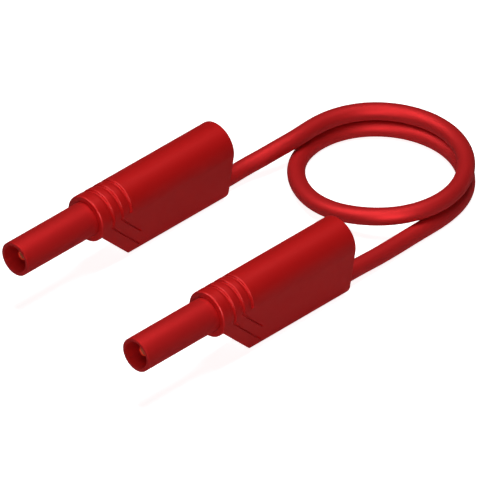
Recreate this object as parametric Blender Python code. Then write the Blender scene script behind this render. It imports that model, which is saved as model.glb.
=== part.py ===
"""Safety test lead: two stackable 4 mm safety plugs joined by one flexible cable.

Each plug lies along X with its nose towards -X. In a plug's own frame x is measured back from the
nose, y is sideways, and z is up from the axis that the shroud, pin and barrel share. The keel under
the barrel holds the cable. Every length is in metres.
"""

import math

import bmesh
import bpy
from mathutils import Vector

# Clearances between the pieces
SEAT = 0.0001
FIT = 0.0001
CABLE_FIT = 0.00015

# Shroud: the rigid sleeve round the contact pin, with the spigot that the housing holds
SHROUD_D = 0.0080
SHROUD_WALL = 0.00075
SHROUD_REACH = 0.0213
SHROUD_FLOOR = 0.0003
SHROUD_MOUTH_EASE = 0.0002
LOCK_PLACE = 0.4
LOCK_WIDTH = 0.0020
LOCK_DEPTH = 0.0005

# Housing: the moulded grip
BARREL_D = 0.0108
GRIP_LENGTH = 0.0403
COLLAR_EASE = 0.0003
KEEL_DROP = 0.0135
KEEL_FOOT = 0.00154
KEEL_CORNER = 0.0030
KEEL_COVER = 0.00135
RAKE = math.radians(45.0)
GROOVE_FIRST = 0.0029
GROOVE_PITCH = 0.00295
GROOVE_COUNT = 3
GROOVE_WIDTH = 0.0008
GROOVE_DEPTH = 0.00035
SLOT_CROSSINGS = (0.0018, 0.0055)
SLOT_DEPTHS = (0.0110, 0.00755)
SLOT_WIDTH = 0.0006
SLOT_CUT = 0.0004

# Contact pin
PIN_D = 0.0040
PIN_RECESS = 0.0020
PIN_NOSE_FLAT = 0.0013
PIN_NOSE_LENGTH = 0.0014
PIN_LAND = 0.0012
PIN_LAND_D = 0.0036
PIN_CORE_D = 0.0027
PIN_REAR_LAND = 0.0024
PIN_FLANGE_D = 0.0048
PIN_FLANGE = 0.0006
SHANK_D = 0.0022
SHANK_REACH = 0.0048

# Lamella cage
LAMELLA_COUNT = 8
LAMELLA_SHARE = 0.62
LAMELLA_WALL = 0.0002
CAGE_RING = 0.0012

# Rear socket and its guard
BOSS_D = 0.0058
BOSS_LENGTH = 0.0043
SOCKET_D = 0.0048
SOCKET_BORE = 0.00405
SOCKET_LEAD_IN = 0.0002
PIN_ROOM = 0.0008
WELL_WALL = 0.0012
STACK_GAP = 0.0002
GUARD_D = 0.0061
GUARD_BASE = 0.0012
GUARD_RECESS = 0.0006
GUARD_LIP = 0.0012
GUARD_LIP_BORE = 0.0043

# Cable and its joint to the contact
CABLE_D = 0.0040
CABLE_DROP = 0.01063
CABLE_HOLD = 0.0030
CABLE_END_LENGTH = 0.0171
CABLE_SEAM = 0.0003
CABLE_MOUTH_EASE = 0.0003
CONDUCTOR_D = 0.0015
CONDUCTOR_IN_JACKET = 0.0030
CONDUCTOR_BARE = 0.0011
STRAND_COUNT = 6
STRAND_RELIEF = 0.22
STRAND_PITCH = 0.0120
LUG_THICKNESS = 0.0006
LUG_EYE_D = 0.0052
CRIMP_D = 0.0026
CRIMP_ROOT = 0.0002

# How the two plugs lie
PLUG_PITCH = 0.0437
PLUG_STAGGER = 0.0066

# Facets
BARREL_TOP_STEPS = 22
BARREL_UNDER_STEPS = 18
CORNER_STEPS = 5
FIT_STEPS = 32
PIN_STEPS = 20
CABLE_STEPS = 20
CABLE_BEVEL_STEPS = 3
NOSE_STEPS = 3
BULGE_STEPS = 6
LUG_EYE_STEPS = 12
LUG_FOOT_STEPS = 8
SHARP_ANGLE = math.radians(32.0)
OVERCUT = 0.0010
MERGE = 1e-7

# Lengths that follow from the grip's own: the well takes a whole shroud, the boss, the lug and the
# shroud's spigot fill the grip in front of it, and the keel's toe covers the lug
WELL_DEPTH = SHROUD_REACH + STACK_GAP + GUARD_BASE + SEAT
SPIGOT_LENGTH = GRIP_LENGTH - WELL_DEPTH - BOSS_LENGTH - LUG_THICKNESS - 2 * SEAT
LOCK_START = SPIGOT_LENGTH * LOCK_PLACE - LOCK_WIDTH / 2
KEEL_TOE = SPIGOT_LENGTH - KEEL_COVER

# Places along a plug, back from its nose
COLLAR_X = SHROUD_REACH
REAR_X = COLLAR_X + GRIP_LENGTH
FLOOR_X = COLLAR_X + SHROUD_FLOOR
SPIGOT_X = COLLAR_X + SPIGOT_LENGTH
LUG_X = SPIGOT_X + SEAT
LUG_BACK_X = LUG_X + LUG_THICKNESS
BOSS_X = LUG_BACK_X + SEAT
SHANK_X = BOSS_X + SHANK_REACH
WELL_X = BOSS_X + BOSS_LENGTH
GUARD_X = WELL_X + SEAT
GUARD_MOUTH_X = REAR_X - GUARD_RECESS
SOCKET_MOUTH_X = GUARD_MOUTH_X - GUARD_LIP - SEAT
SOCKET_FLOOR_X = REAR_X - SHROUD_REACH + PIN_RECESS - PIN_ROOM
CABLE_END_X = REAR_X - CABLE_HOLD
JACKET_X = CABLE_END_X - CABLE_END_LENGTH
CRIMP_END_X = JACKET_X - CONDUCTOR_BARE
PLUG_LENGTH = REAR_X
AXIS_Z = KEEL_DROP
NEAR_NOSE = Vector((-(PLUG_LENGTH + PLUG_STAGGER) / 2, -PLUG_PITCH / 2, AXIS_Z))
FAR_NOSE = NEAR_NOSE + Vector((PLUG_STAGGER, PLUG_PITCH, 0.0))

# The free cable's way round, between the two places where it leaves a plug: up and over its own
# lower turn, once round on top, down to the surface, half round underneath and out
LOOP_ROUTE = (
    (0.0381, 0.0218, 0.0029),
    (0.0421, 0.0214, 0.0034),
    (0.0461, 0.0204, 0.0043),
    (0.0501, 0.0194, 0.0053),
    (0.0549, 0.0187, 0.0060),
    (0.0627, 0.0186, 0.0063),
    (0.0716, 0.0157, 0.0063),
    (0.0780, 0.0086, 0.0063),
    (0.0802, -0.0011, 0.0063),
    (0.0773, -0.0107, 0.0063),
    (0.0702, -0.0178, 0.0063),
    (0.0605, -0.0207, 0.0063),
    (0.0514, -0.0182, 0.0060),
    (0.0454, -0.0107, 0.0049),
    (0.0437, -0.0003, 0.0034),
    (0.0471, 0.0097, 0.0024),
    (0.0537, 0.0163, 0.00205),
    (0.0626, 0.0184, 0.00205),
    (0.0715, 0.0156, 0.00205),
    (0.0779, 0.0084, 0.00205),
    (0.0800, -0.0012, 0.00205),
    (0.0772, -0.0108, 0.00205),
    (0.0700, -0.0180, 0.00205),
    (0.0604, -0.0208, 0.00205),
    (0.0530, -0.0211, 0.0021),
    (0.0455, -0.0214, 0.0022),
    (0.0385, -0.0217, 0.0025),
    (0.0330, -0.0218, 0.0028),
)
CABLE_POINTS = 70

RED_PLASTIC = ((0.43, 0.012, 0.014), 0.38, 0.0)
RED_SLEEVE = ((0.40, 0.010, 0.012), 0.34, 0.0)
RED_CABLE = ((0.45, 0.015, 0.018), 0.45, 0.0)
RED_GUARD = ((0.36, 0.010, 0.012), 0.40, 0.0)
GILT = ((0.72, 0.50, 0.20), 0.28, 1.0)
SPRING_GILT = ((0.78, 0.57, 0.26), 0.24, 1.0)
BRASS = ((0.62, 0.47, 0.22), 0.30, 1.0)
TINNED = ((0.62, 0.62, 0.60), 0.35, 1.0)
COPPER = ((0.70, 0.33, 0.18), 0.40, 1.0)


def clear_scene():
    """Remove whatever objects the scene starts with."""
    for thing in list(bpy.data.objects):
        bpy.data.objects.remove(thing, do_unlink=True)


def finish(name, colour, roughness, metallic):
    """A Principled material."""
    material = bpy.data.materials.new(name)
    material.use_nodes = True
    shader = material.node_tree.nodes["Principled BSDF"]
    shader.inputs["Base Color"].default_value = (*colour, 1.0)
    shader.inputs["Roughness"].default_value = roughness
    shader.inputs["Metallic"].default_value = metallic
    return material


def mesh_of(bm, name):
    """Turn a bmesh into a mesh whose faces point out, and free it."""
    bmesh.ops.remove_doubles(bm, verts=bm.verts, dist=MERGE)
    bmesh.ops.recalc_face_normals(bm, faces=bm.faces)
    mesh = bpy.data.meshes.new(name)
    bm.to_mesh(mesh)
    bm.free()
    return mesh


def polar(radius, angle):
    """A point of the section plane, as (y, z), from the barrel's axis."""
    return (radius * math.cos(angle), radius * math.sin(angle))


def arc(radius, start, end, steps, centre=(0.0, 0.0)):
    """Points along an arc of the section plane, both ends included."""
    points = []
    for i in range(steps + 1):
        y, z = polar(radius, start + (end - start) * i / steps)
        points.append((centre[0] + y, centre[1] + z))
    return points


def turned(profile, steps, name, drop=0.0, start=0.0):
    """Spin a profile of (x, r) points once round an axis along X that lies `drop` below the plug's.

    A profile whose first and last points lie on the axis gives a solid, any other a closed ring.
    """
    bm = bmesh.new()
    places = [(x, *polar(r, start)) for x, r in profile]
    points = [bm.verts.new((x, y, z - drop)) for x, y, z in places]
    edges = [bm.edges.new(pair) for pair in zip(points, points[1:])]
    if profile[0][1] > 0.0:
        edges.append(bm.edges.new((points[-1], points[0])))
    bmesh.ops.spin(
        bm,
        geom=points + edges,
        cent=(0.0, 0.0, -drop),
        axis=(1.0, 0.0, 0.0),
        angle=2.0 * math.pi,
        steps=steps,
        use_duplicate=False,
    )
    return mesh_of(bm, name)


def prism(outline, x_start, x_end, name):
    """Extrude an outline of (y, z) points along X."""
    bm = bmesh.new()
    face = bm.faces.new([bm.verts.new((x_start, y, z)) for y, z in outline])
    run = bmesh.ops.extrude_face_region(bm, geom=[face])
    moved = [item for item in run["geom"] if isinstance(item, bmesh.types.BMVert)]
    bmesh.ops.translate(bm, verts=moved, vec=(x_end - x_start, 0.0, 0.0))
    return mesh_of(bm, name)


def combine(mesh, tools, operation):
    """Apply a Boolean of a mesh with other meshes and return the mesh that is left."""
    body = bpy.data.objects.new(mesh.name, mesh)
    bpy.context.scene.collection.objects.link(body)
    helpers = []
    for tool in tools:
        helper = bpy.data.objects.new("cutter", tool)
        helper.hide_render = True
        helper.display_type = "WIRE"
        bpy.context.scene.collection.objects.link(helper)
        modifier = body.modifiers.new("combine", "BOOLEAN")
        modifier.operation = operation
        modifier.solver = "EXACT"
        modifier.object = helper
        helpers.append(helper)
    graph = bpy.context.evaluated_depsgraph_get()
    result = bpy.data.meshes.new_from_object(body.evaluated_get(graph))
    result.name = mesh.name
    for thing in [body, *helpers]:
        bpy.data.objects.remove(thing, do_unlink=True)
    return result


def keel_taper():
    """The lean of the keel's sides, which touch both the barrel and the foot's corner arcs."""
    half_foot = KEEL_FOOT / 2
    drop = KEEL_DROP - KEEL_CORNER
    reach = math.hypot(half_foot, drop)
    return math.asin((BARREL_D / 2 - KEEL_CORNER) / reach) - math.atan2(half_foot, drop)


def barrel_top():
    """The barrel's section down to where the keel's sides leave it."""
    taper = keel_taper()
    return arc(BARREL_D / 2, -taper, math.pi + taper, BARREL_TOP_STEPS)


def barrel_under():
    """The rest of the barrel's section, which shows in front of the keel."""
    taper = keel_taper()
    return arc(BARREL_D / 2, math.pi + taper, 2.0 * math.pi - taper, BARREL_UNDER_STEPS)


def grip_outline():
    """The grip's section: the barrel's circle, its tapering keel and the rounded, flat foot."""
    taper = keel_taper()
    half_foot = KEEL_FOOT / 2
    height = KEEL_CORNER - KEEL_DROP
    left = arc(KEEL_CORNER, math.pi + taper, 1.5 * math.pi, CORNER_STEPS, (-half_foot, height))
    right = arc(KEEL_CORNER, -0.5 * math.pi, -taper, CORNER_STEPS, (half_foot, height))
    return barrel_top() + left + right


def chin_cutter():
    """What is taken away in front of the keel, from under the barrel's front, up to the raked plane."""
    under = [barrel_top()[-1], *barrel_under()[1:-1], barrel_top()[0]]
    top = under[0][1]
    out = BARREL_D / 2 + OVERCUT
    low = -KEEL_DROP - OVERCUT
    outline = under + [(out, top), (out, low), (-out, low), (-out, top)]
    toe = COLLAR_X + KEEL_TOE
    bm = bmesh.new()
    block = prism(outline, COLLAR_X - OVERCUT, toe + OVERCUT, "chin_cutter")
    bm.from_mesh(block)
    bpy.data.meshes.remove(block)
    cut = bmesh.ops.bisect_plane(
        bm,
        geom=[*bm.verts, *bm.edges, *bm.faces],
        plane_co=(toe, 0.0, -KEEL_DROP),
        plane_no=(math.sin(RAKE), 0.0, math.cos(RAKE)),
        clear_outer=True,
    )
    rim = [item for item in cut["geom_cut"] if isinstance(item, bmesh.types.BMEdge)]
    bmesh.ops.triangle_fill(bm, use_beauty=True, edges=rim)
    return mesh_of(bm, "chin_cutter")


def collar_edge_cutter():
    """The bevel round the collar's front edge, half a facet round from the barrel's own."""
    radius = BARREL_D / 2
    ease = COLLAR_EASE + OVERCUT
    steps = BARREL_TOP_STEPS + BARREL_UNDER_STEPS
    profile = [
        (COLLAR_X - OVERCUT, radius - ease),
        (COLLAR_X + ease, radius + OVERCUT),
        (COLLAR_X - OVERCUT, radius + OVERCUT),
    ]
    return turned(profile, steps, "collar_edge_cutter", start=math.pi / steps)


def slot_start(index):
    """How far below the axis a groove turns into its slot, or ends where it has none."""
    if index < len(SLOT_CROSSINGS):
        return (groove_middle(index) - COLLAR_X - SLOT_CROSSINGS[index]) * math.tan(RAKE)
    return BARREL_D / 2 * math.sin(keel_taper()) / 2


def groove_middle(index):
    """Where the middle of a ring groove lies along the plug."""
    return COLLAR_X + GROOVE_FIRST + index * GROOVE_PITCH


def groove_cutter(index):
    """A ring groove over the top of the barrel, down to where its raked slot starts on each side."""
    radius = BARREL_D / 2
    end = math.asin(slot_start(index) / radius)
    middle = groove_middle(index)
    floor = radius - GROOVE_DEPTH
    top = radius + OVERCUT
    rise = GROOVE_WIDTH / 2 * (OVERCUT + GROOVE_DEPTH) / GROOVE_DEPTH
    section = (
        (middle - GROOVE_WIDTH / 4, floor),
        (middle + GROOVE_WIDTH / 4, floor),
        (middle + GROOVE_WIDTH / 4 + rise / 2, top),
        (middle - GROOVE_WIDTH / 4 - rise / 2, top),
    )
    bm = bmesh.new()
    start = -end
    corners = [bm.verts.new((x, *polar(r, start))) for x, r in section]
    face = bm.faces.new(corners)
    bmesh.ops.spin(
        bm,
        geom=[face, *face.edges, *face.verts],
        cent=(0.0, 0.0, 0.0),
        axis=(1.0, 0.0, 0.0),
        angle=math.pi + 2.0 * end,
        steps=BARREL_TOP_STEPS,
        use_duplicate=False,
    )
    return mesh_of(bm, "groove_cutter")


def slot_cutter(index, side):
    """A raked slot on one side of the keel, as a bar along the rake that sinks into the side."""
    radius = BARREL_D / 2
    top = slot_start(index)
    bottom = SLOT_DEPTHS[index]
    crossing = COLLAR_X + SLOT_CROSSINGS[index]
    along = Vector((math.cos(RAKE), 0.0, -math.sin(RAKE)))
    across = Vector((math.sin(RAKE), 0.0, math.cos(RAKE)))
    lean = math.sin(keel_taper())
    flat = math.cos(keel_taper())
    normal = Vector((0.0, flat, -lean))
    bm = bmesh.new()
    ends = []
    for drop in (top, bottom):
        x = crossing + drop / math.tan(RAKE)
        y = (radius - drop * lean) / flat
        middle = Vector((x, y, -drop))
        low = -normal * SLOT_CUT
        high = normal * OVERCUT
        half = across * SLOT_WIDTH / 2
        reach = along * (0.0 if drop == top else SLOT_WIDTH / 2)
        corners = [middle + reach + low - half, middle + reach + low + half]
        corners += [middle + reach + high + half, middle + reach + high - half]
        ends.append([bm.verts.new((c.x, side * c.y, c.z)) for c in corners])
    bm.faces.new(ends[0])
    bm.faces.new(ends[1])
    for i in range(4):
        j = (i + 1) % 4
        bm.faces.new((ends[0][i], ends[0][j], ends[1][j], ends[1][i]))
    return mesh_of(bm, "slot_cutter")


def spigot_steps(grow):
    """The spigot's outer steps as (x, r) points from the collar back, grown by a clearance."""
    outer = SHROUD_D / 2 + grow
    neck = outer - LOCK_DEPTH
    lock = COLLAR_X + LOCK_START
    return [
        (lock + grow, outer),
        (lock + grow, neck),
        (lock + LOCK_WIDTH - grow, neck),
        (lock + LOCK_WIDTH - grow, outer),
    ]


def core_cutter():
    """The housing's bore: the shroud's seat, the socket's seat and the well for the next plug."""
    outer = SHROUD_D / 2 + FIT
    boss = BOSS_D / 2 + FIT
    well = BARREL_D / 2 - WELL_WALL
    profile = [
        (COLLAR_X - OVERCUT, 0.0),
        (COLLAR_X - OVERCUT, outer),
        *spigot_steps(FIT),
        (SPIGOT_X + SEAT, outer),
        (SPIGOT_X + SEAT, boss),
        (WELL_X, boss),
        (WELL_X, well),
        (REAR_X + OVERCUT, well),
        (REAR_X + OVERCUT, 0.0),
    ]
    return turned(profile, FIT_STEPS, "core_cutter")


def cable_cutter():
    """The housing's lower bore: the crimp's room, the cable's hole and its eased mouth."""
    crimp = CRIMP_D / 2 + FIT
    hole = CABLE_D / 2 + CABLE_FIT
    ease = CABLE_MOUTH_EASE
    profile = [
        (LUG_X, 0.0),
        (LUG_X, crimp),
        (JACKET_X - SEAT, crimp),
        (JACKET_X - SEAT, hole),
        (REAR_X - ease, hole),
        (REAR_X + OVERCUT, hole + ease + OVERCUT),
        (REAR_X + OVERCUT, 0.0),
    ]
    return turned(profile, CABLE_STEPS, "cable_cutter", CABLE_DROP)


def lug_outline(grow):
    """The lug's plate: an eye and a smaller foot joined by straight sides that touch both."""
    eye = LUG_EYE_D / 2 + grow
    foot = CRIMP_D / 2 + CRIMP_ROOT + grow
    lean = math.asin((eye - foot) / CABLE_DROP)
    top = arc(eye, -lean, math.pi + lean, LUG_EYE_STEPS)
    low = arc(foot, math.pi + lean, 2.0 * math.pi - lean, LUG_FOOT_STEPS, (0.0, -CABLE_DROP))
    return top + low


def build_housing():
    """The moulded grip: barrel, collar, grooves, keel, slots and the bores for what it holds."""
    body = prism(grip_outline(), COLLAR_X, REAR_X, "housing")
    tools = [chin_cutter(), collar_edge_cutter()]
    tools += [groove_cutter(i) for i in range(GROOVE_COUNT)]
    tools += [slot_cutter(i, side) for i in range(len(SLOT_CROSSINGS)) for side in (-1, 1)]
    tools += [core_cutter(), cable_cutter()]
    tools.append(prism(lug_outline(FIT), SPIGOT_X, LUG_BACK_X + SEAT, "lug_room"))
    return combine(body, tools, "DIFFERENCE")


def build_shroud():
    """The insulating sleeve with the thick spigot behind it that carries the pin."""
    outer = SHROUD_D / 2
    bore = outer - SHROUD_WALL
    ease = SHROUD_MOUTH_EASE
    shank = SHANK_D / 2 + FIT
    profile = [
        (0.0, bore + ease),
        (0.0, outer - ease),
        (ease, outer),
        *spigot_steps(0.0),
        (SPIGOT_X, outer),
        (SPIGOT_X, shank),
        (FLOOR_X, shank),
        (FLOOR_X, bore),
        (ease, bore),
    ]
    return turned(profile, FIT_STEPS, "shroud")


def pin_places():
    """Where the cage's seat on the pin starts and ends."""
    flange = FLOOR_X - SEAT - PIN_FLANGE
    return PIN_RECESS + PIN_NOSE_LENGTH + PIN_LAND, flange - PIN_REAR_LAND


def build_contact_pin():
    """The turned pin: rounded nose, waisted core for the cage, flange and shank."""
    seat_start, seat_end = pin_places()
    flange_back = FLOOR_X - SEAT
    flange = flange_back - PIN_FLANGE
    land = PIN_LAND_D / 2
    flat = PIN_NOSE_FLAT / 2
    nose = PIN_RECESS
    core = PIN_CORE_D / 2
    profile = [(nose, 0.0)]
    for i in range(NOSE_STEPS + 1):
        turn = 0.5 * math.pi * i / NOSE_STEPS
        along = nose + PIN_NOSE_LENGTH * (1.0 - math.cos(turn))
        profile.append((along, flat + (land - flat) * math.sin(turn)))
    profile += [
        (seat_start, land),
        (seat_start, core),
        (seat_end, core),
        (seat_end, land),
        (flange, land),
        (flange, PIN_FLANGE_D / 2),
        (flange_back, PIN_FLANGE_D / 2),
        (flange_back, SHANK_D / 2),
        (SHANK_X, SHANK_D / 2),
        (SHANK_X, 0.0),
    ]
    return turned(profile, PIN_STEPS, "contact_pin")


def cage_profile():
    """The cage's rows as (x, inner radius): a ring, the bulge of the lamellae and a ring."""
    seat_start, seat_end = pin_places()
    ring = PIN_CORE_D / 2 + FIT
    swell = PIN_D / 2 - LAMELLA_WALL - ring
    start = seat_start + SEAT
    end = seat_end - SEAT
    bulge_start = start + CAGE_RING
    bulge_end = end - CAGE_RING
    rows = [(start, ring)]
    for i in range(BULGE_STEPS + 1):
        share = i / BULGE_STEPS
        x = bulge_start + (bulge_end - bulge_start) * share
        rows.append((x, ring + swell * math.sin(math.pi * share)))
    rows.append((end, ring))
    return rows


def cage_angles():
    """The angles of the cage's columns: two facets to each lamella and one to each gap."""
    pitch = 2.0 * math.pi / LAMELLA_COUNT
    angles = []
    for k in range(LAMELLA_COUNT):
        start = k * pitch
        angles += [start, start + pitch * LAMELLA_SHARE / 2, start + pitch * LAMELLA_SHARE]
    return angles


def build_lamella_cage():
    """The spring cage: a rolled strip with slots between bulged lamellae and one open seam."""
    rows = cage_profile()
    angles = cage_angles()
    bm = bmesh.new()
    grid = [[bm.verts.new((x, *polar(r, a))) for a in angles] for x, r in rows]
    last_row = len(rows) - 2
    for row in range(last_row + 1):
        is_ring = row in (0, last_row)
        for column in range(len(angles) - 1):
            is_gap = column % 3 == 2
            if is_gap and not is_ring:
                continue
            bm.faces.new(
                (
                    grid[row][column],
                    grid[row + 1][column],
                    grid[row + 1][column + 1],
                    grid[row][column + 1],
                )
            )
    mesh = bpy.data.meshes.new("lamella_cage")
    bm.to_mesh(mesh)
    bm.free()
    body = bpy.data.objects.new("lamella_cage", mesh)
    bpy.context.scene.collection.objects.link(body)
    wall = body.modifiers.new("wall", "SOLIDIFY")
    wall.thickness = LAMELLA_WALL
    wall.offset = -1.0
    graph = bpy.context.evaluated_depsgraph_get()
    solid = bpy.data.meshes.new_from_object(body.evaluated_get(graph))
    bpy.data.objects.remove(body, do_unlink=True)
    thick = bmesh.new()
    thick.from_mesh(solid)
    return mesh_of(thick, "lamella_cage")


def build_rear_socket():
    """The turned socket: a boss bored for the pin's shank, and the tube for the next plug's pin."""
    bore = SOCKET_BORE / 2
    profile = [
        (SHANK_X + SEAT, 0.0),
        (SHANK_X + SEAT, SHANK_D / 2 + FIT),
        (BOSS_X, SHANK_D / 2 + FIT),
        (BOSS_X, BOSS_D / 2),
        (WELL_X, BOSS_D / 2),
        (WELL_X, SOCKET_D / 2),
        (SOCKET_MOUTH_X, SOCKET_D / 2),
        (SOCKET_MOUTH_X, bore + SOCKET_LEAD_IN),
        (SOCKET_MOUTH_X - SOCKET_LEAD_IN, bore),
        (SOCKET_FLOOR_X, bore),
        (SOCKET_FLOOR_X, 0.0),
    ]
    return turned(profile, PIN_STEPS, "rear_socket")


def build_socket_guard():
    """The insulating sleeve round the socket, with its base in the well and a lip over the metal."""
    outer = GUARD_D / 2
    bore = SOCKET_D / 2 + FIT
    base = BARREL_D / 2 - WELL_WALL - FIT
    lip = GUARD_LIP_BORE / 2
    profile = [
        (GUARD_X, bore),
        (GUARD_X, base),
        (GUARD_X + GUARD_BASE, base),
        (GUARD_X + GUARD_BASE, outer),
        (GUARD_MOUTH_X, outer),
        (GUARD_MOUTH_X, lip),
        (GUARD_MOUTH_X - GUARD_LIP, lip),
        (GUARD_MOUTH_X - GUARD_LIP, bore),
    ]
    return turned(profile, PIN_STEPS, "socket_guard")


def build_crimp_lug():
    """The lug: an eye on the pin's shank, a plate down into the keel and the crimp barrel."""
    plate = prism(lug_outline(0.0), LUG_X, LUG_BACK_X, "crimp_lug")
    outer = CRIMP_D / 2
    inner = CONDUCTOR_D / 2 + FIT
    barrel = [
        (LUG_BACK_X - LUG_THICKNESS / 2, 0.0),
        (LUG_BACK_X - LUG_THICKNESS / 2, outer),
        (CRIMP_END_X, outer),
        (CRIMP_END_X, inner),
        (LUG_BACK_X, inner),
        (LUG_BACK_X, 0.0),
    ]
    joined = combine(plate, [turned(barrel, PIN_STEPS, "crimp", CABLE_DROP)], "UNION")
    eye = [
        (LUG_X - OVERCUT, 0.0),
        (LUG_X - OVERCUT, SHANK_D / 2 + FIT),
        (LUG_BACK_X + OVERCUT, SHANK_D / 2 + FIT),
        (LUG_BACK_X + OVERCUT, 0.0),
    ]
    return combine(joined, [turned(eye, PIN_STEPS, "eye")], "DIFFERENCE")


def build_conductor():
    """The bare end of the stranded copper: a lobed bundle laid up with a twist."""
    start = LUG_BACK_X + SEAT
    end = JACKET_X + CONDUCTOR_IN_JACKET
    crest = CONDUCTOR_D / 2
    valley = crest * (1.0 - STRAND_RELIEF)
    count = 2 * STRAND_COUNT
    step = STRAND_PITCH / count
    rows = max(2, round((end - start) / step))
    bm = bmesh.new()
    rings = []
    for row in range(rows + 1):
        x = start + (end - start) * row / rows
        twist = 2.0 * math.pi * (x - start) / STRAND_PITCH
        ring = []
        for k in range(count):
            y, z = polar(valley if k % 2 else crest, twist + 2.0 * math.pi * k / count)
            ring.append(bm.verts.new((x, y, z - CABLE_DROP)))
        rings.append(ring)
    bm.faces.new(rings[0])
    bm.faces.new(rings[-1])
    for first, second in zip(rings, rings[1:]):
        for k in range(count):
            j = (k + 1) % count
            bm.faces.new((first[k], first[j], second[j], second[k]))
    return mesh_of(bm, "conductor")


def build_cable_end():
    """The jacketed end of the cable inside the keel, stripped in front for the conductor."""
    outer = CABLE_D / 2
    bore = CONDUCTOR_D / 2 + FIT
    floor = JACKET_X + CONDUCTOR_IN_JACKET + SEAT
    profile = [
        (floor, 0.0),
        (floor, bore),
        (JACKET_X, bore),
        (JACKET_X, outer),
        (CABLE_END_X, outer),
        (CABLE_END_X, 0.0),
    ]
    return turned(profile, CABLE_STEPS, "cable_end", CABLE_DROP)


def smooth_through(points, count):
    """Points evenly spaced along a natural cubic spline through the given ones."""
    gaps = [(b - a).length for a, b in zip(points, points[1:])]
    last = len(points) - 1
    bends = [Vector((0.0, 0.0, 0.0)) for _ in points]
    ratios = [0.0] * len(points)
    for i in range(1, last):
        slope = (points[i + 1] - points[i]) / gaps[i] - (points[i] - points[i - 1]) / gaps[i - 1]
        pivot = 2.0 * (gaps[i - 1] + gaps[i]) - gaps[i - 1] * ratios[i - 1]
        ratios[i] = gaps[i] / pivot
        bends[i] = (6.0 * slope - gaps[i - 1] * bends[i - 1]) / pivot
    for i in range(last - 1, 0, -1):
        bends[i] = bends[i] - ratios[i] * bends[i + 1]
    total = sum(gaps)
    line = []
    for n in range(count):
        travel = total * n / (count - 1)
        i = 0
        while i < last - 1 and travel > gaps[i]:
            travel -= gaps[i]
            i += 1
        gap = gaps[i]
        ahead = gap - travel
        curved = (bends[i] * ahead**3 + bends[i + 1] * travel**3) / (6.0 * gap)
        straight = (points[i] / gap - bends[i] * gap / 6.0) * ahead
        straight += (points[i + 1] / gap - bends[i + 1] * gap / 6.0) * travel
        line.append(curved + straight)
    return line


def add_cable(material):
    """The free cable between the two plugs, a round tube along its route."""
    starts = []
    for nose in (FAR_NOSE, NEAR_NOSE):
        base = nose + Vector((0.0, 0.0, -CABLE_DROP))
        starts.append(
            [
                base + Vector((CABLE_END_X + CABLE_SEAM, 0.0, 0.0)),
                base + Vector((REAR_X, 0.0, 0.0)),
            ]
        )
    route = starts[0] + [Vector(p) for p in LOOP_ROUTE] + starts[1][::-1]
    line = smooth_through(route, CABLE_POINTS)
    curve = bpy.data.curves.new("cable", "CURVE")
    curve.dimensions = "3D"
    curve.bevel_depth = CABLE_D / 2
    curve.bevel_resolution = CABLE_BEVEL_STEPS
    curve.use_fill_caps = True
    spline = curve.splines.new("POLY")
    spline.points.add(len(line) - 1)
    for point, place in zip(spline.points, line):
        point.co = (*place, 1.0)
    cable = bpy.data.objects.new("cable", curve)
    cable.data.materials.append(material)
    bpy.context.scene.collection.objects.link(cable)


def add_plug(prefix, nose, pieces):
    """Stand one plug at its place: a named object for each piece, parented to the plug's empty."""
    empty = bpy.data.objects.new(f"{prefix}_plug", None)
    empty.location = nose
    bpy.context.scene.collection.objects.link(empty)
    for name, mesh in pieces.items():
        piece = bpy.data.objects.new(f"{prefix}_{name}", mesh)
        piece.parent = empty
        bpy.context.scene.collection.objects.link(piece)


def main():
    """Build both plugs from one set of meshes, and the cable between them."""
    clear_scene()
    recipes = {
        "housing": (build_housing, RED_PLASTIC),
        "shroud": (build_shroud, RED_SLEEVE),
        "contact_pin": (build_contact_pin, GILT),
        "lamella_cage": (build_lamella_cage, SPRING_GILT),
        "rear_socket": (build_rear_socket, BRASS),
        "socket_guard": (build_socket_guard, RED_GUARD),
        "crimp_lug": (build_crimp_lug, TINNED),
        "conductor": (build_conductor, COPPER),
        "cable_end": (build_cable_end, RED_CABLE),
    }
    pieces = {}
    for name, (build, look) in recipes.items():
        mesh = build()
        mesh.materials.clear()
        mesh.materials.append(finish(name, *look))
        mesh.shade_smooth()
        mesh.set_sharp_from_angle(angle=SHARP_ANGLE)
        pieces[name] = mesh
    add_plug("near", NEAR_NOSE, pieces)
    add_plug("far", FAR_NOSE, pieces)
    add_cable(finish("cable", *RED_CABLE))


main()
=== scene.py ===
"""Looks of the safety test lead: two stackable red safety plugs joined by one looped red cable.

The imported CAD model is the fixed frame. Each visible piece of a plug is built again here with finer
curves, rounded edges and its own procedural finish, and stands for its CAD node. The plug's outer
sizes and places are read from the frame. Every length is in metres. In a plug's own frame x is
measured back from the nose, y is sideways and z is up from the axis that the shroud, pin and barrel
share.
"""

import logging
import math
from abc import ABC, abstractmethod
from dataclasses import dataclass, field
from enum import Enum

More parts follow.
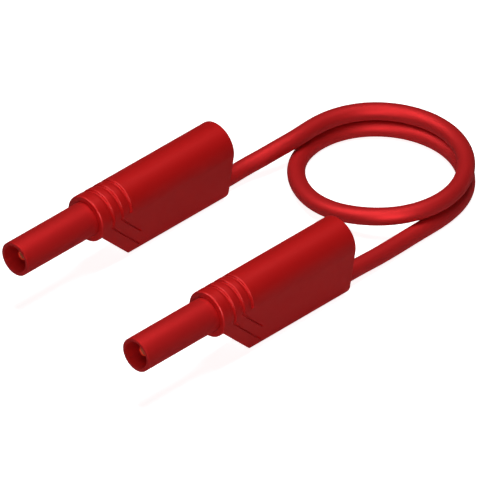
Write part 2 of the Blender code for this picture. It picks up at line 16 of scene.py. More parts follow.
import bmesh
import bpy
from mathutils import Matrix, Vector


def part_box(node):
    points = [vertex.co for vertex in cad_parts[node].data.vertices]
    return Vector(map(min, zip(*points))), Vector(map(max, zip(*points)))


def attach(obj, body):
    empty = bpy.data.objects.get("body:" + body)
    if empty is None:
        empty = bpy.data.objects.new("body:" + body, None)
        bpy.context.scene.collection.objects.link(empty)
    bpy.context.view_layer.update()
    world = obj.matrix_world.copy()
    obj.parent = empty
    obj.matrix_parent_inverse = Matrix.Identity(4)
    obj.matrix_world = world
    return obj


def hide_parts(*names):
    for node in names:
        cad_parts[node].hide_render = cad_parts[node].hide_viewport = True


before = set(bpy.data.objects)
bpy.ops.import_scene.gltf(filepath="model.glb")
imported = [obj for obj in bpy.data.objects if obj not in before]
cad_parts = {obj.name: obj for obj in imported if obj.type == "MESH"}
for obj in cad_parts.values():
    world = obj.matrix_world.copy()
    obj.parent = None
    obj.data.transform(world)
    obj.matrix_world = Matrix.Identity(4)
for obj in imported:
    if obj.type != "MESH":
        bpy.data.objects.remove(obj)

LOG = logging.getLogger("safety_test_lead")
MERGE = 1e-7
WELD = 1e-6
SHARP_ANGLE = math.radians(34.0)
FLAT_FACE_WEIGHT = 100
CORNER_ROOM = 0.49

# A corner of a profile is (x, r, corner radius), and a feed is a socket to link or a number to set
Point2 = tuple[float, float]
Point3 = tuple[float, float, float]
Corner = tuple[float, float, float]
Feed = bpy.types.NodeSocket | float


class Slot(Enum):
    """The record's material slots that the pieces take their finishes from."""

    GRIP = "grip_plastic"
    SLEEVE = "sleeve_plastic"
    GUARD = "guard_plastic"
    JACKET = "cable_jacket"
    GILT = "gilt_brass"
    SPRING = "spring_bronze"
    SOCKET = "socket_brass"
    TINNED = "tinned_copper"
    COPPER = "bare_copper"


class End(Enum):
    """Which of the lead's two plugs a piece belongs to."""

    NEAR = "near"
    FAR = "far"


class Marks(Enum):
    """Which way the fine marks of a metal finish run."""

    TURNED = "turned"
    ROLLED = "rolled"


# Shader node groups


def new_group(
    name: str,
    inputs: dict[str, tuple[str, object]],
    outputs: dict[str, str],
) -> bpy.types.NodeTree:
    """Make an empty shader node group with named sockets.

    Args:
        name: The group's name.
        inputs: Each input's name with its socket type and default value.
        outputs: Each output's name with its socket type.

    Returns:
        The group, with its Group Input and Group Output nodes in place.
    """
    group = bpy.data.node_groups.new(name, "ShaderNodeTree")
    for label, (kind, value) in inputs.items():
        group.interface.new_socket(label, in_out="INPUT", socket_type=kind).default_value = value
    for label, kind in outputs.items():
        group.interface.new_socket(label, in_out="OUTPUT", socket_type=kind)
    group.nodes.new("NodeGroupInput").name = "In"
    group.nodes.new("NodeGroupOutput").name = "Out"
    return group


def math_node(
    group: bpy.types.NodeTree,
    operation: str,
    first: Feed,
    second: Feed = 0.0,
) -> bpy.types.NodeSocket:
    """Add a Math node to a tree.

    Args:
        group: The tree.
        operation: The node's operation, such as "MULTIPLY".
        first: A socket to link or a number to set.
        second: A socket to link or a number to set.

    Returns:
        The node's output.
    """
    node = group.nodes.new("ShaderNodeMath")
    node.operation = operation
    for place, value in enumerate((first, second)):
        if isinstance(value, bpy.types.NodeSocket):
            group.links.new(value, node.inputs[place])
        else:
            node.inputs[place].default_value = value
    return node.outputs[0]


def noise_node(
    group: bpy.types.NodeTree,
    where: bpy.types.NodeSocket,
    scale: Feed,
    detail: float,
) -> bpy.types.NodeSocket:
    """Add a Noise node to a tree.

    Args:
        group: The tree.
        where: The coordinates that it reads.
        scale: A socket to link or a number to set.
        detail: How many finer layers it has.

    Returns:
        The node's value output.
    """
    node = group.nodes.new("ShaderNodeTexNoise")
    node.inputs["Detail"].default_value = detail
    group.links.new(where, node.inputs["Vector"])
    if isinstance(scale, bpy.types.NodeSocket):
        group.links.new(scale, node.inputs["Scale"])
    else:
        node.inputs["Scale"].default_value = scale
    return node.outputs["Fac"]


def tint_output(group: bpy.types.NodeTree, mask: bpy.types.NodeSocket) -> None:
    """Lead a colour to the group's Colour output, darkened a little where a mask is low.

    Args:
        group: The group, with Colour and Mottle inputs.
        mask: Where the colour keeps its full strength, from 0 to 1.
    """
    inside, outside = group.nodes["In"], group.nodes["Out"]
    loss = math_node(group, "MULTIPLY", inside.outputs["Mottle"], mask)
    dim = math_node(group, "SUBTRACT", 1.0, loss)
    scale = group.nodes.new("ShaderNodeVectorMath")
    scale.operation = "SCALE"
    group.links.new(inside.outputs["Colour"], scale.inputs[0])
    group.links.new(dim, scale.inputs["Scale"])
    group.links.new(scale.outputs[0], outside.inputs["Colour"])


def moulded_group() -> bpy.types.NodeTree:
    """Build the effect of a moulded or extruded plastic: fine grain, faint mottling, uneven gloss.

    Returns:
        The group, with Colour, Roughness and Height outputs.
    """
    group = new_group(
        "moulded_plastic",
        {
            "Colour": ("NodeSocketColor", (0.5, 0.5, 0.5, 1.0)),
            "Mottle": ("NodeSocketFloat", 0.08),
            "Roughness": ("NodeSocketFloat", 0.4),
            "Gloss Spread": ("NodeSocketFloat", 0.08),
            "Grain Scale": ("NodeSocketFloat", 9000.0),
            "Cloud Scale": ("NodeSocketFloat", 260.0),
            "Stretch": ("NodeSocketFloat", 1.0),
        },
        {"Colour": "NodeSocketColor", "Roughness": "NodeSocketFloat", "Height": "NodeSocketFloat"},
    )
    inside, outside = group.nodes["In"], group.nodes["Out"]
    place = group.nodes.new("ShaderNodeTexCoord")
    split = group.nodes.new("ShaderNodeSeparateXYZ")
    joined = group.nodes.new("ShaderNodeCombineXYZ")
    group.links.new(place.outputs["Object"], split.inputs[0])
    stretched = math_node(group, "MULTIPLY", split.outputs["X"], inside.outputs["Stretch"])
    group.links.new(stretched, joined.inputs["X"])
    group.links.new(split.outputs["Y"], joined.inputs["Y"])
    group.links.new(split.outputs["Z"], joined.inputs["Z"])
    cloud = noise_node(group, joined.outputs[0], inside.outputs["Cloud Scale"], 3.0)
    grain = noise_node(group, joined.outputs[0], inside.outputs["Grain Scale"], 2.0)
    tint_output(group, cloud)
    centred = math_node(group, "SUBTRACT", cloud, 0.5)
    spread = math_node(group, "MULTIPLY", centred, inside.outputs["Gloss Spread"])
    rough = math_node(group, "ADD", spread, inside.outputs["Roughness"])
    group.links.new(rough, outside.inputs["Roughness"])
    group.links.new(grain, outside.inputs["Height"])
    return group


def tooled_group() -> bpy.types.NodeTree:
    """Build the effect of a tooled metal: fine rings round X, or lines along it, and a faint tarnish.

    Returns:
        The group, with Colour, Roughness and Height outputs.
    """
    group = new_group(
        "tooled_metal",
        {
            "Colour": ("NodeSocketColor", (0.5, 0.5, 0.5, 1.0)),
            "Mottle": ("NodeSocketFloat", 0.15),
            "Roughness": ("NodeSocketFloat", 0.3),
            "Gloss Spread": ("NodeSocketFloat", 0.12),
            "Ring Scale": ("NodeSocketFloat", 9000.0),
            "Line Scale": ("NodeSocketFloat", 200.0),
            "Tarnish Scale": ("NodeSocketFloat", 700.0),
        },
        {"Colour": "NodeSocketColor", "Roughness": "NodeSocketFloat", "Height": "NodeSocketFloat"},
    )
    inside, outside = group.nodes["In"], group.nodes["Out"]
    place = group.nodes.new("ShaderNodeTexCoord")
    split = group.nodes.new("ShaderNodeSeparateXYZ")
    joined = group.nodes.new("ShaderNodeCombineXYZ")
    group.links.new(place.outputs["Object"], split.inputs[0])
    for axis, label in (("X", "Ring Scale"), ("Y", "Line Scale"), ("Z", "Line Scale")):
        scaled = math_node(group, "MULTIPLY", split.outputs[axis], inside.outputs[label])
        group.links.new(scaled, joined.inputs[axis])
    marks = noise_node(group, joined.outputs[0], 1.0, 2.0)
    tarnish = noise_node(group, place.outputs["Object"], inside.outputs["Tarnish Scale"], 4.0)
    tint_output(group, tarnish)
    both = math_node(group, "ADD", marks, tarnish)
    mean = math_node(group, "MULTIPLY", both, 0.5)
    uneven = math_node(group, "SUBTRACT", mean, 0.5)
    spread = math_node(group, "MULTIPLY", uneven, inside.outputs["Gloss Spread"])
    rough = math_node(group, "ADD", spread, inside.outputs["Roughness"])
    group.links.new(rough, outside.inputs["Roughness"])
    group.links.new(marks, outside.inputs["Height"])
    return group


def dress(
    name: str,
    group: bpy.types.NodeTree,
    values: dict[str, object],
    relief: Point2,
) -> bpy.types.Material:
    """Make a material whose Principled shader is fed by an effect group through a Bump node.

    Args:
        name: The material's name.
        group: The effect group, with Colour, Roughness and Height outputs.
        values: The group's input values by name.
        relief: The bump's strength and its distance.

    Returns:
        The material.
    """
    material = bpy.data.materials.new(name)
    material.use_nodes = True
    tree = material.node_tree
    shader = tree.nodes["Principled BSDF"]
    effect = tree.nodes.new("ShaderNodeGroup")
    effect.node_tree = group
    for label, value in values.items():
        effect.inputs[label].default_value = value
    bump = tree.nodes.new("ShaderNodeBump")
    bump.inputs["Strength"].default_value, bump.inputs["Distance"].default_value = relief
    tree.links.new(effect.outputs["Colour"], shader.inputs["Base Color"])
    tree.links.new(effect.outputs["Roughness"], shader.inputs["Roughness"])
    tree.links.new(effect.outputs["Height"], bump.inputs["Height"])
    tree.links.new(bump.outputs["Normal"], shader.inputs["Normal"])
    return material


@dataclass(frozen=True)
class Plastic:
    """A red plastic finish, with a gloss that takes the plastic's own colour."""

    name: str
    colour: tuple[float, float, float]
    roughness: float
    gloss: float = 1.0
    gloss_index: float = 1.78
    gloss_tint: tuple[float, float, float] = (1.0, 0.028, 0.032)
    skin: float = 0.0
    skin_roughness: float = 0.30
    mottle: float = 0.08
    gloss_spread: float = 0.08
    grain_scale: float = 9000.0
    cloud_scale: float = 260.0
    stretch: float = 1.0
    bump: Point2 = (0.12, 0.00002)

    def build(self, group: bpy.types.NodeTree) -> bpy.types.Material:
        """Make the material from the moulded-plastic group.

        Args:
            group: The shared effect group.

        Returns:
            The material.
        """
        values = {
            "Colour": (*self.colour, 1.0),
            "Mottle": self.mottle,
            "Roughness": self.roughness,
            "Gloss Spread": self.gloss_spread,
            "Grain Scale": self.grain_scale,
            "Cloud Scale": self.cloud_scale,
            "Stretch": self.stretch,
        }
        material = dress(self.name, group, values, self.bump)
        shader = material.node_tree.nodes["Principled BSDF"]
        shader.inputs["Specular IOR Level"].default_value = self.gloss
        shader.inputs["IOR"].default_value = self.gloss_index
        shader.inputs["Specular Tint"].default_value = (*self.gloss_tint, 1.0)
        shader.inputs["Coat Weight"].default_value = self.skin
        shader.inputs["Coat Roughness"].default_value = self.skin_roughness
        return material


@dataclass(frozen=True)
class Metal:
    """A tooled metal finish."""

    name: str
    colour: tuple[float, float, float]
    roughness: float
    marks: Marks = Marks.TURNED
    mottle: float = 0.18
    gloss_spread: float = 0.14
    fine_scale: float = 9000.0
    coarse_scale: float = 150.0
    bump: Point2 = (0.15, 0.00001)

    def build(self, group: bpy.types.NodeTree) -> bpy.types.Material:
        """Make the material from the tooled-metal group.

        Args:
            group: The shared effect group.

        Returns:
            The material.
        """
        turned = self.marks is Marks.TURNED
        values = {
            "Colour": (*self.colour, 1.0),
            "Mottle": self.mottle,
            "Roughness": self.roughness,
            "Gloss Spread": self.gloss_spread,
            "Ring Scale": self.fine_scale if turned else self.coarse_scale,
            "Line Scale": self.coarse_scale if turned else self.fine_scale,
        }
        material = dress(self.name, group, values, self.bump)
        material.node_tree.nodes["Principled BSDF"].inputs["Metallic"].default_value = 1.0
        return material


@dataclass
class Finishes:
    """Every finish of the lead, made once and shared by both plugs."""

    plastics: dict[Slot, Plastic] = field(
        default_factory=lambda: {
            Slot.GRIP: Plastic(
                "moulded_red_grip",
                (0.435, 0.0054, 0.0048),
                0.60,
                gloss_tint=(1.0, 0.020, 0.022),
                skin=0.17,
            ),
            Slot.SLEEVE: Plastic("moulded_red_sleeve", (0.40, 0.0095, 0.0090), 0.58, grain_scale=12000.0),
            Slot.GUARD: Plastic("moulded_red_guard", (0.36, 0.0100, 0.0095), 0.60),
            Slot.JACKET: Plastic(
                "red_cable_jacket",
                (0.42, 0.0105, 0.0110),
                0.58,
                gloss_tint=(1.0, 0.045, 0.05),
                mottle=0.06,
                cloud_scale=180.0,
            ),
        }
    )
    metals: dict[Slot, Metal] = field(
        default_factory=lambda: {
            Slot.GILT: Metal("gilt_turned_brass", (0.90, 0.62, 0.30), 0.26),
            Slot.SPRING: Metal("gilt_spring_strip", (0.88, 0.62, 0.30), 0.24, Marks.ROLLED),
            Slot.SOCKET: Metal("turned_socket_brass", (0.80, 0.60, 0.30), 0.32),
            Slot.TINNED: Metal("tinned_lug_strip", (0.55, 0.55, 0.53), 0.38, Marks.ROLLED),
            Slot.COPPER: Metal("bare_copper_strand", (0.60, 0.24, 0.11), 0.42, Marks.ROLLED),
        }
    )
    made: dict[Slot, bpy.types.Material] = field(default_factory=dict)

    def build(self) -> None:
        """Make every material from the two shared effect groups."""
        plastic_group, metal_group = moulded_group(), tooled_group()
        for slot, plastic in self.plastics.items():
            self.made[slot] = plastic.build(plastic_group)
        for slot, metal in self.metals.items():
            self.made[slot] = metal.build(metal_group)


# Geometry Nodes trees


def geometry_tree(name: str, inputs: dict[str, tuple[str, object]]) -> bpy.types.NodeTree:
    """Make an empty Geometry Nodes tree with a geometry input and output and named inputs.

    Args:
        name: The tree's name.
        inputs: Each further input's name with its socket type and default value, None for no default.

    Returns:
        The tree, with its Group Input and Group Output nodes in place.
    """
    tree = bpy.data.node_groups.new(name, "GeometryNodeTree")
    tree.is_modifier = True
    tree.interface.new_socket("Geometry", in_out="INPUT", socket_type="NodeSocketGeometry")
    tree.interface.new_socket("Geometry", in_out="OUTPUT", socket_type="NodeSocketGeometry")
    for label, (kind, value) in inputs.items():
        socket = tree.interface.new_socket(label, in_out="INPUT", socket_type=kind)
        if value is not None:
            socket.default_value = value
    tree.nodes.new("NodeGroupInput").name = "In"
    tree.nodes.new("NodeGroupOutput").name = "Out"
    return tree


def close_tree(tree: bpy.types.NodeTree, result: bpy.types.NodeSocket) -> None:
    """End a tree: realize its instances, weld what touches and set the material.

    Args:
        tree: The tree, with a Material input.
        result: The geometry so far.
    """
    inside, outside = tree.nodes["In"], tree.nodes["Out"]
    weld = tree.nodes.new("GeometryNodeMergeByDistance")
    weld.inputs["Distance"].default_value = WELD
    realize = tree.nodes.new("GeometryNodeRealizeInstances")
    paint = tree.nodes.new("GeometryNodeSetMaterial")
    first = tree.nodes.new("GeometryNodeRealizeInstances")
    tree.links.new(result, first.inputs[0])
    tree.links.new(first.outputs[0], weld.inputs["Geometry"])
    tree.links.new(weld.outputs["Geometry"], realize.inputs[0])
    tree.links.new(realize.outputs[0], paint.inputs["Geometry"])
    tree.links.new(inside.outputs["Material"], paint.inputs["Material"])
    tree.links.new(paint.outputs["Geometry"], outside.inputs["Geometry"])


def turned_tree() -> bpy.types.NodeTree:
    """Build the tree that spins a profile, given as vertices (x, r, 0) in order, once round X.

    Returns:
        The tree, with Steps and Material inputs.
    """
    tree = geometry_tree(
        "turned_piece",
        {"Steps": ("NodeSocketInt", 64), "Material": ("NodeSocketMaterial", None)},
    )
    inside = tree.nodes["In"]
    size = tree.nodes.new("GeometryNodeAttributeDomainSize")
    tree.links.new(inside.outputs["Geometry"], size.inputs["Geometry"])
    grid = tree.nodes.new("GeometryNodeMeshGrid")
    columns = math_node(tree, "ADD", inside.outputs["Steps"], 1.0)
    tree.links.new(columns, grid.inputs["Vertices X"])
    tree.links.new(size.outputs["Point Count"], grid.inputs["Vertices Y"])
    index = tree.nodes.new("GeometryNodeInputIndex").outputs[0]
    row = math_node(tree, "MODULO", index, size.outputs["Point Count"])
    middle = math_node(tree, "ADD", index, 0.5)
    share = math_node(tree, "DIVIDE", middle, size.outputs["Point Count"])
    column = math_node(tree, "FLOOR", share)
    position = tree.nodes.new("GeometryNodeInputPosition").outputs[0]
    sample = tree.nodes.new("GeometryNodeSampleIndex")
    sample.data_type = "FLOAT_VECTOR"
    tree.links.new(inside.outputs["Geometry"], sample.inputs["Geometry"])
    tree.links.new(position, sample.inputs["Value"])
    tree.links.new(row, sample.inputs["Index"])
    split = tree.nodes.new("ShaderNodeSeparateXYZ")
    tree.links.new(sample.outputs["Value"], split.inputs[0])
    whole = math_node(tree, "MULTIPLY", column, 2.0 * math.pi)
    turn = math_node(tree, "DIVIDE", whole, inside.outputs["Steps"])
    place = tree.nodes.new("ShaderNodeCombineXYZ")
    tree.links.new(split.outputs["X"], place.inputs["X"])
    for axis, wave in (("Y", "COSINE"), ("Z", "SINE")):
        swing = math_node(tree, wave, turn)
        reach = math_node(tree, "MULTIPLY", split.outputs["Y"], swing)
        tree.links.new(reach, place.inputs[axis])
    move = tree.nodes.new("GeometryNodeSetPosition")
    tree.links.new(grid.outputs["Mesh"], move.inputs["Geometry"])
    tree.links.new(place.outputs[0], move.inputs["Position"])
    close_tree(tree, move.outputs["Geometry"])
    return tree


def ring_tree() -> bpy.types.NodeTree:
    """Build the tree that repeats one sector of a piece evenly round X.

    Returns:
        The tree, with Count and Material inputs.
    """
    tree = geometry_tree(
        "ring_of_sectors",
        {"Count": ("NodeSocketInt", 8), "Material": ("NodeSocketMaterial", None)},
    )
    inside = tree.nodes["In"]
    line = tree.nodes.new("GeometryNodeMeshLine")
    tree.links.new(inside.outputs["Count"], line.inputs["Count"])
    line.inputs["Offset"].default_value = (0.0, 0.0, 0.0)
    index = tree.nodes.new("GeometryNodeInputIndex").outputs[0]
    whole = math_node(tree, "MULTIPLY", index, 2.0 * math.pi)
    turn = math_node(tree, "DIVIDE", whole, inside.outputs["Count"])
    around = tree.nodes.new("ShaderNodeCombineXYZ")
    tree.links.new(turn, around.inputs["X"])
    spread = tree.nodes.new("GeometryNodeInstanceOnPoints")
    tree.links.new(line.outputs["Mesh"], spread.inputs["Points"])
    tree.links.new(inside.outputs["Geometry"], spread.inputs["Instance"])
    tree.links.new(around.outputs[0], spread.inputs["Rotation"])
    close_tree(tree, spread.outputs["Instances"])
    return tree


def jacket_tree() -> bpy.types.NodeTree:
    """Build the tree that lays a round, closed jacket along a path.

    Returns:
        The tree, with Rings, Sides, Radius and Material inputs.
    """
    tree = geometry_tree(
        "cable_jacket",
        {
            "Rings": ("NodeSocketInt", 480),
            "Sides": ("NodeSocketInt", 32),
            "Radius": ("NodeSocketFloat", 0.002),
            "Material": ("NodeSocketMaterial", None),
        },
    )
    inside = tree.nodes["In"]
    path = tree.nodes.new("GeometryNodeMeshToCurve")
    tree.links.new(inside.outputs["Geometry"], path.inputs["Mesh"])
    even = tree.nodes.new("GeometryNodeResampleCurve")
    tree.links.new(path.outputs["Curve"], even.inputs["Curve"])
    tree.links.new(inside.outputs["Rings"], even.inputs["Count"])
    circle = tree.nodes.new("GeometryNodeCurvePrimitiveCircle")
    tree.links.new(inside.outputs["Sides"], circle.inputs["Resolution"])
    tree.links.new(inside.outputs["Radius"], circle.inputs["Radius"])
    tube = tree.nodes.new("GeometryNodeCurveToMesh")
    tube.inputs["Fill Caps"].default_value = True
    tree.links.new(even.outputs["Curve"], tube.inputs["Curve"])
    tree.links.new(circle.outputs["Curve"], tube.inputs["Profile Curve"])
    close_tree(tree, tube.outputs["Mesh"])
    return tree


# Mesh helpers


def facing_out(mesh: bpy.types.Mesh) -> bpy.types.Mesh:
    """Merge a mesh's doubles, drop its empty faces and turn its faces outwards.

    Args:
        mesh: The closed mesh.

    Returns:
        The same mesh.
    """
    bm = bmesh.new()
    bm.from_mesh(mesh)
    bmesh.ops.remove_doubles(bm, verts=bm.verts, dist=MERGE)
    bmesh.ops.dissolve_degenerate(bm, edges=bm.edges, dist=MERGE)
    bmesh.ops.recalc_face_normals(bm, faces=bm.faces)
    bm.to_mesh(mesh)
    bm.free()
    return mesh


def grown(
    name: str,
    start: bpy.types.Mesh,
    tree: bpy.types.NodeTree,
    values: dict[str, object],
) -> bpy.types.Mesh:
    """Run a Geometry Nodes tree on a starting mesh and keep what it makes as a plain mesh.

    Args:
        name: The mesh's name.
        start: The geometry that the tree reads.
        tree: The Geometry Nodes tree.
        values: The tree's input values by name.

    Returns:
        The plain mesh, facing outwards.
    """
    helper = bpy.data.objects.new(name, start)
    bpy.context.scene.collection.objects.link(helper)
    modifier = helper.modifiers.new("tree", "NODES")
    modifier.node_group = tree
    for item in tree.interface.items_tree:
        if item.in_out == "INPUT" and item.name in values:
            modifier[item.identifier] = values[item.name]
    graph = bpy.context.evaluated_depsgraph_get()
    mesh = bpy.data.meshes.new_from_object(helper.evaluated_get(graph), depsgraph=graph)
    mesh.name = name
    bpy.data.objects.remove(helper, do_unlink=True)
    return facing_out(mesh)


def strip_of_points(name: str, points: list[Vector]) -> bpy.types.Mesh:
    """Make a mesh of vertices joined in a row by edges.

    Args:
        name: The mesh's name.
        points: The places, in order.

    Returns:
        The mesh.
    """
    mesh = bpy.data.meshes.new(name)
    edges = [(i, i + 1) for i in range(len(points) - 1)]
    mesh.from_pydata([tuple(p) for p in points], edges, [])
    return mesh


def rounded(corners: list[Corner], steps: int = 4) -> list[Point2]:
    """Round the corners of a profile.

    Args:
        corners: Each corner as (x, r, radius), with radius 0 for one that stays sharp.
        steps: How many facets a rounded corner gets.

    Returns:
        The profile's points as (x, r).
    """
    points: list[Point2] = []
    last = len(corners) - 1
    for i, (x, r, radius) in enumerate(corners):
        if radius <= 0.0 or i in (0, last):
            points.append((x, r))
            continue
        here = Vector((x, r))
        back = Vector(corners[i - 1][:2]) - here
        ahead = Vector(corners[i + 1][:2]) - here
        half = back.angle(ahead) / 2.0
        reach = min(radius / math.tan(half), CORNER_ROOM * back.length, CORNER_ROOM * ahead.length)
        first, final = here + back.normalized() * reach, here + ahead.normalized() * reach
        for k in range(steps + 1):
            t = k / steps
            blend = first * (1.0 - t) ** 2 + here * (2.0 * t * (1.0 - t)) + final * t**2
            points.append((blend.x, blend.y))
    return points


def polar(radius: float, angle: float) -> Point2:
    """Find a point of the section plane from its place round the plug's axis.

    Args:
        radius: How far it is from the axis.
        angle: Its turn from +Y towards +Z.

    Returns:
        The point as (y, z).
    """
    return (radius * math.cos(angle), radius * math.sin(angle))


def prism(name: str, outline: list[Point2], x_start: float, x_end: float) -> bpy.types.Mesh:
    """Extrude an outline along X.

    Args:
        name: The mesh's name.
        outline: The section as (y, z) points.
        x_start: Where it starts.
        x_end: Where it ends.

    Returns:
        The closed mesh.
    """
    count = len(outline)
    places = [(x, y, z) for x in (x_start, x_end) for y, z in outline]
    sides = [(i, (i + 1) % count, (i + 1) % count + count, i + count) for i in range(count)]
    mesh = bpy.data.meshes.new(name)
    mesh.from_pydata(places, [], [*sides, tuple(range(count)), tuple(range(count, 2 * count))])
    return facing_out(mesh)


def cut(mesh: bpy.types.Mesh, tools: list[bpy.types.Mesh]) -> bpy.types.Mesh:
    """Take closed tools away from a closed mesh with exact Booleans.

    Args:
        mesh: The mesh to cut.
        tools: What is taken away.

    Returns:
        The mesh that is left.
    """
    body = bpy.data.objects.new(mesh.name, mesh)
    bpy.context.scene.collection.objects.link(body)
    helpers = []
    for tool in tools:
        helper = bpy.data.objects.new("cutter", tool)
        bpy.context.scene.collection.objects.link(helper)
        modifier = body.modifiers.new("cut", "BOOLEAN")
        modifier.operation = "DIFFERENCE"
        modifier.solver = "EXACT"
        modifier.object = helper
        helpers.append(helper)
    graph = bpy.context.evaluated_depsgraph_get()
    result = bpy.data.meshes.new_from_object(body.evaluated_get(graph), depsgraph=graph)
    result.name = mesh.name
    for thing in (body, *helpers):
        bpy.data.objects.remove(thing, do_unlink=True)
    return result


def shade(mesh: bpy.types.Mesh, material: bpy.types.Material) -> bpy.types.Mesh:
    """Shade a mesh smooth with sharp corners kept, and give it one material.

    Args:
        mesh: The mesh.
        material: Its finish.

    Returns:
        The same mesh.
    """
    mesh.shade_smooth()
    mesh.set_sharp_from_angle(angle=SHARP_ANGLE)
    mesh.materials.clear()
    mesh.materials.append(material)
    return mesh


def place_piece(
    name: str,
    mesh: bpy.types.Mesh,
    node: str,
    level: bool = False,
) -> bpy.types.Object:
    """Put a finished mesh into the scene on the lead's one body, in place of its CAD node.

    Args:
        name: The piece's name.
        mesh: Its mesh, already where it belongs.
        node: The CAD node that it stands for.
        level: Whether its flat faces are to keep their own normals next to rounded edges.

    Returns:
        The piece.
    """
    piece = bpy.data.objects.new(name, mesh)
    bpy.context.scene.collection.objects.link(piece)
    if level:
        weigh = piece.modifiers.new("level_faces", "WEIGHTED_NORMAL")
        weigh.keep_sharp = True
        weigh.weight = FLAT_FACE_WEIGHT
    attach(piece, "root")
    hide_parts(node)
    LOG.info("%s: %d faces, for %s", name, len(mesh.polygons), node)
    return piece


# The sub-assemblies


@dataclass(frozen=True)
class PlugSizes:
    """The sizes that a plug's pieces share, with each x measured back from the nose.

    Pieces that seat on each other keep the fit between them. The lock ring starts its gap behind
    the collar's face. The cage's seat is the neck between the pin's nose and its rear part. The
    well is the deep round recess in the rear face, and the tube is the rear socket's outside in it.
    """

    collar_x: float
    rear_x: float
    sleeve_radius: float
    spigot_end: float
    barrel_radius: float
    keel_drop: float
    fit: float = 0.0001
    lock_gap: float = 0.00396
    lock_width: float = 0.0020
    lock_depth: float = 0.0005
    flange_end: float = 0.0215
    shank_radius: float = 0.0011
    shank_end: float = 0.0393
    cage_seat: Point2 = (0.0046, 0.0185)
    cage_seat_radius: float = 0.00135
    lug_end: float = 0.0345
    boss_radius: float = 0.0030
    well_x: float = 0.0388
    well_radius: float = 0.0042
    tube_radius: float = 0.0024
    tube_end: float = 0.0597

    @classmethod
    def of_frame(cls, end: End = End.NEAR) -> "PlugSizes":
        """Read a plug's outer sizes from its CAD nodes.

        Args:
            end: Which plug is read. The two are alike.

        Returns:
            The sizes.
        """
        sleeve_low, sleeve_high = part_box(f"{end.value}_shroud")
        grip_low, grip_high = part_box(f"{end.value}_housing")
        nose = nose_of(end)
        return cls(
            collar_x=grip_low.x - nose.x,
            rear_x=grip_high.x - nose.x,
            sleeve_radius=(sleeve_high.y - sleeve_low.y) / 2,
            spigot_end=sleeve_high.x - nose.x,
            barrel_radius=(grip_high.y - grip_low.y) / 2,
            keel_drop=nose.z - grip_low.z,
        )

    @property
    def lock_span(self) -> Point2:
        """Where the lock ring behind the collar starts and ends."""
        start = self.collar_x + self.lock_gap
        return (start, start + self.lock_width)


def nose_of(end: End) -> Vector:
    """Find a plug's nose: the front of its shroud's CAD node, on the axis.

    Args:
        end: Which plug.

    Returns:
        The place.
    """
    low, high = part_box(f"{end.value}_shroud")
    return Vector((low.x, (low.y + high.y) / 2, (low.z + high.z) / 2))


@dataclass(frozen=True)
class Column:
    """One column of the grip's skin: a point of its section and what lies inside of it.

    The point is (y, z), its outward normal is (ny, nz), and angle is that of the matching point on
    the barrel's circle. top is whether the point itself is on that circle.
    """

    y: float
    z: float
    ny: float
    nz: float
    angle: float
    top: bool

    def mirrored(self) -> "Column":
        """Give the same column on the other side."""
        return Column(-self.y, self.z, -self.ny, self.nz, math.pi - self.angle, self.top)

    def point(self, x: float, inset: float = 0.0) -> Vector:
        """Place one of the column's points.

        Args:
            x: Its place along the plug.
            inset: How far it is sunk into the body.

        Returns:
            The point in the plug's frame.
        """
        flat = Vector((self.y, self.z)) - Vector((self.ny, self.nz)) * inset
        return Vector((x, flat.x, flat.y))


def eased(share: float) -> float:
    """Bring a share into 0 to 1 and ease it in and out.

    Args:
        share: The share along the change, of any size.

    Returns:
        The eased share, from 0 to 1.
    """
    return 0.5 - 0.5 * math.cos(math.pi * min(1.0, max(0.0, share)))


def blended(first: list[Point2], second: list[Point2], share: float) -> list[Point2]:
    """Blend two rows of points, point by point.

    Args:
        first: The points at share 0.
        second: The points at share 1.
        share: How far from the first to the second.

    Returns:
        The blended points.
    """
    return [(a + (b - a) * share, c + (d - c) * share) for (a, c), (b, d) in zip(first, second)]


@dataclass(frozen=True)
class Channel:
    """A channel's shape across: where it lies, how deep it is and how its two walls turn down.

    Each wall is (lip radius, how far it turns in degrees), and its foot has half of the lip's radius.
    """

    span: Point2
    depth: float
    front_wall: Point2
    rear_wall: Point2
    lip_steps: int = 8

    def wall(self, lip: Point2) -> list[Point2]:
        """List the rows down one wall, over its rounded lip and into its rounded foot.

        Args:
            lip: The wall's lip radius and turn.

        Returns:
            The rows as (distance in from the channel's edge, depth).
        """
        radius, turn = lip[0], math.radians(lip[1])
        foot = radius / 2
        fall = self.depth - (radius + foot) * (1.0 - math.cos(turn))
        run = (radius + foot) * math.sin(turn) + fall / math.tan(turn)
        half = self.lip_steps // 2
        turns = [turn * i / self.lip_steps for i in range(self.lip_steps + 1)]
        rows = [(radius * math.sin(a), radius * (1.0 - math.cos(a))) for a in turns]
        turns = [turn * i / half for i in range(half, -1, -1)]
        return rows + [(run - foot * math.sin(a), self.depth - foot * (1.0 - math.cos(a))) for a in turns]

    def rows(self) -> list[Point2]:
        """List the rows across the channel, from the rear forward.

        Returns:
            The rows as (offset along x, depth).
        """
        front, rear = self.span
        behind = [(rear - offset, depth) for offset, depth in self.wall(self.rear_wall)]
        ahead = [(front + offset, depth) for offset, depth in self.wall(self.front_wall)]
        return behind + ahead[::-1]


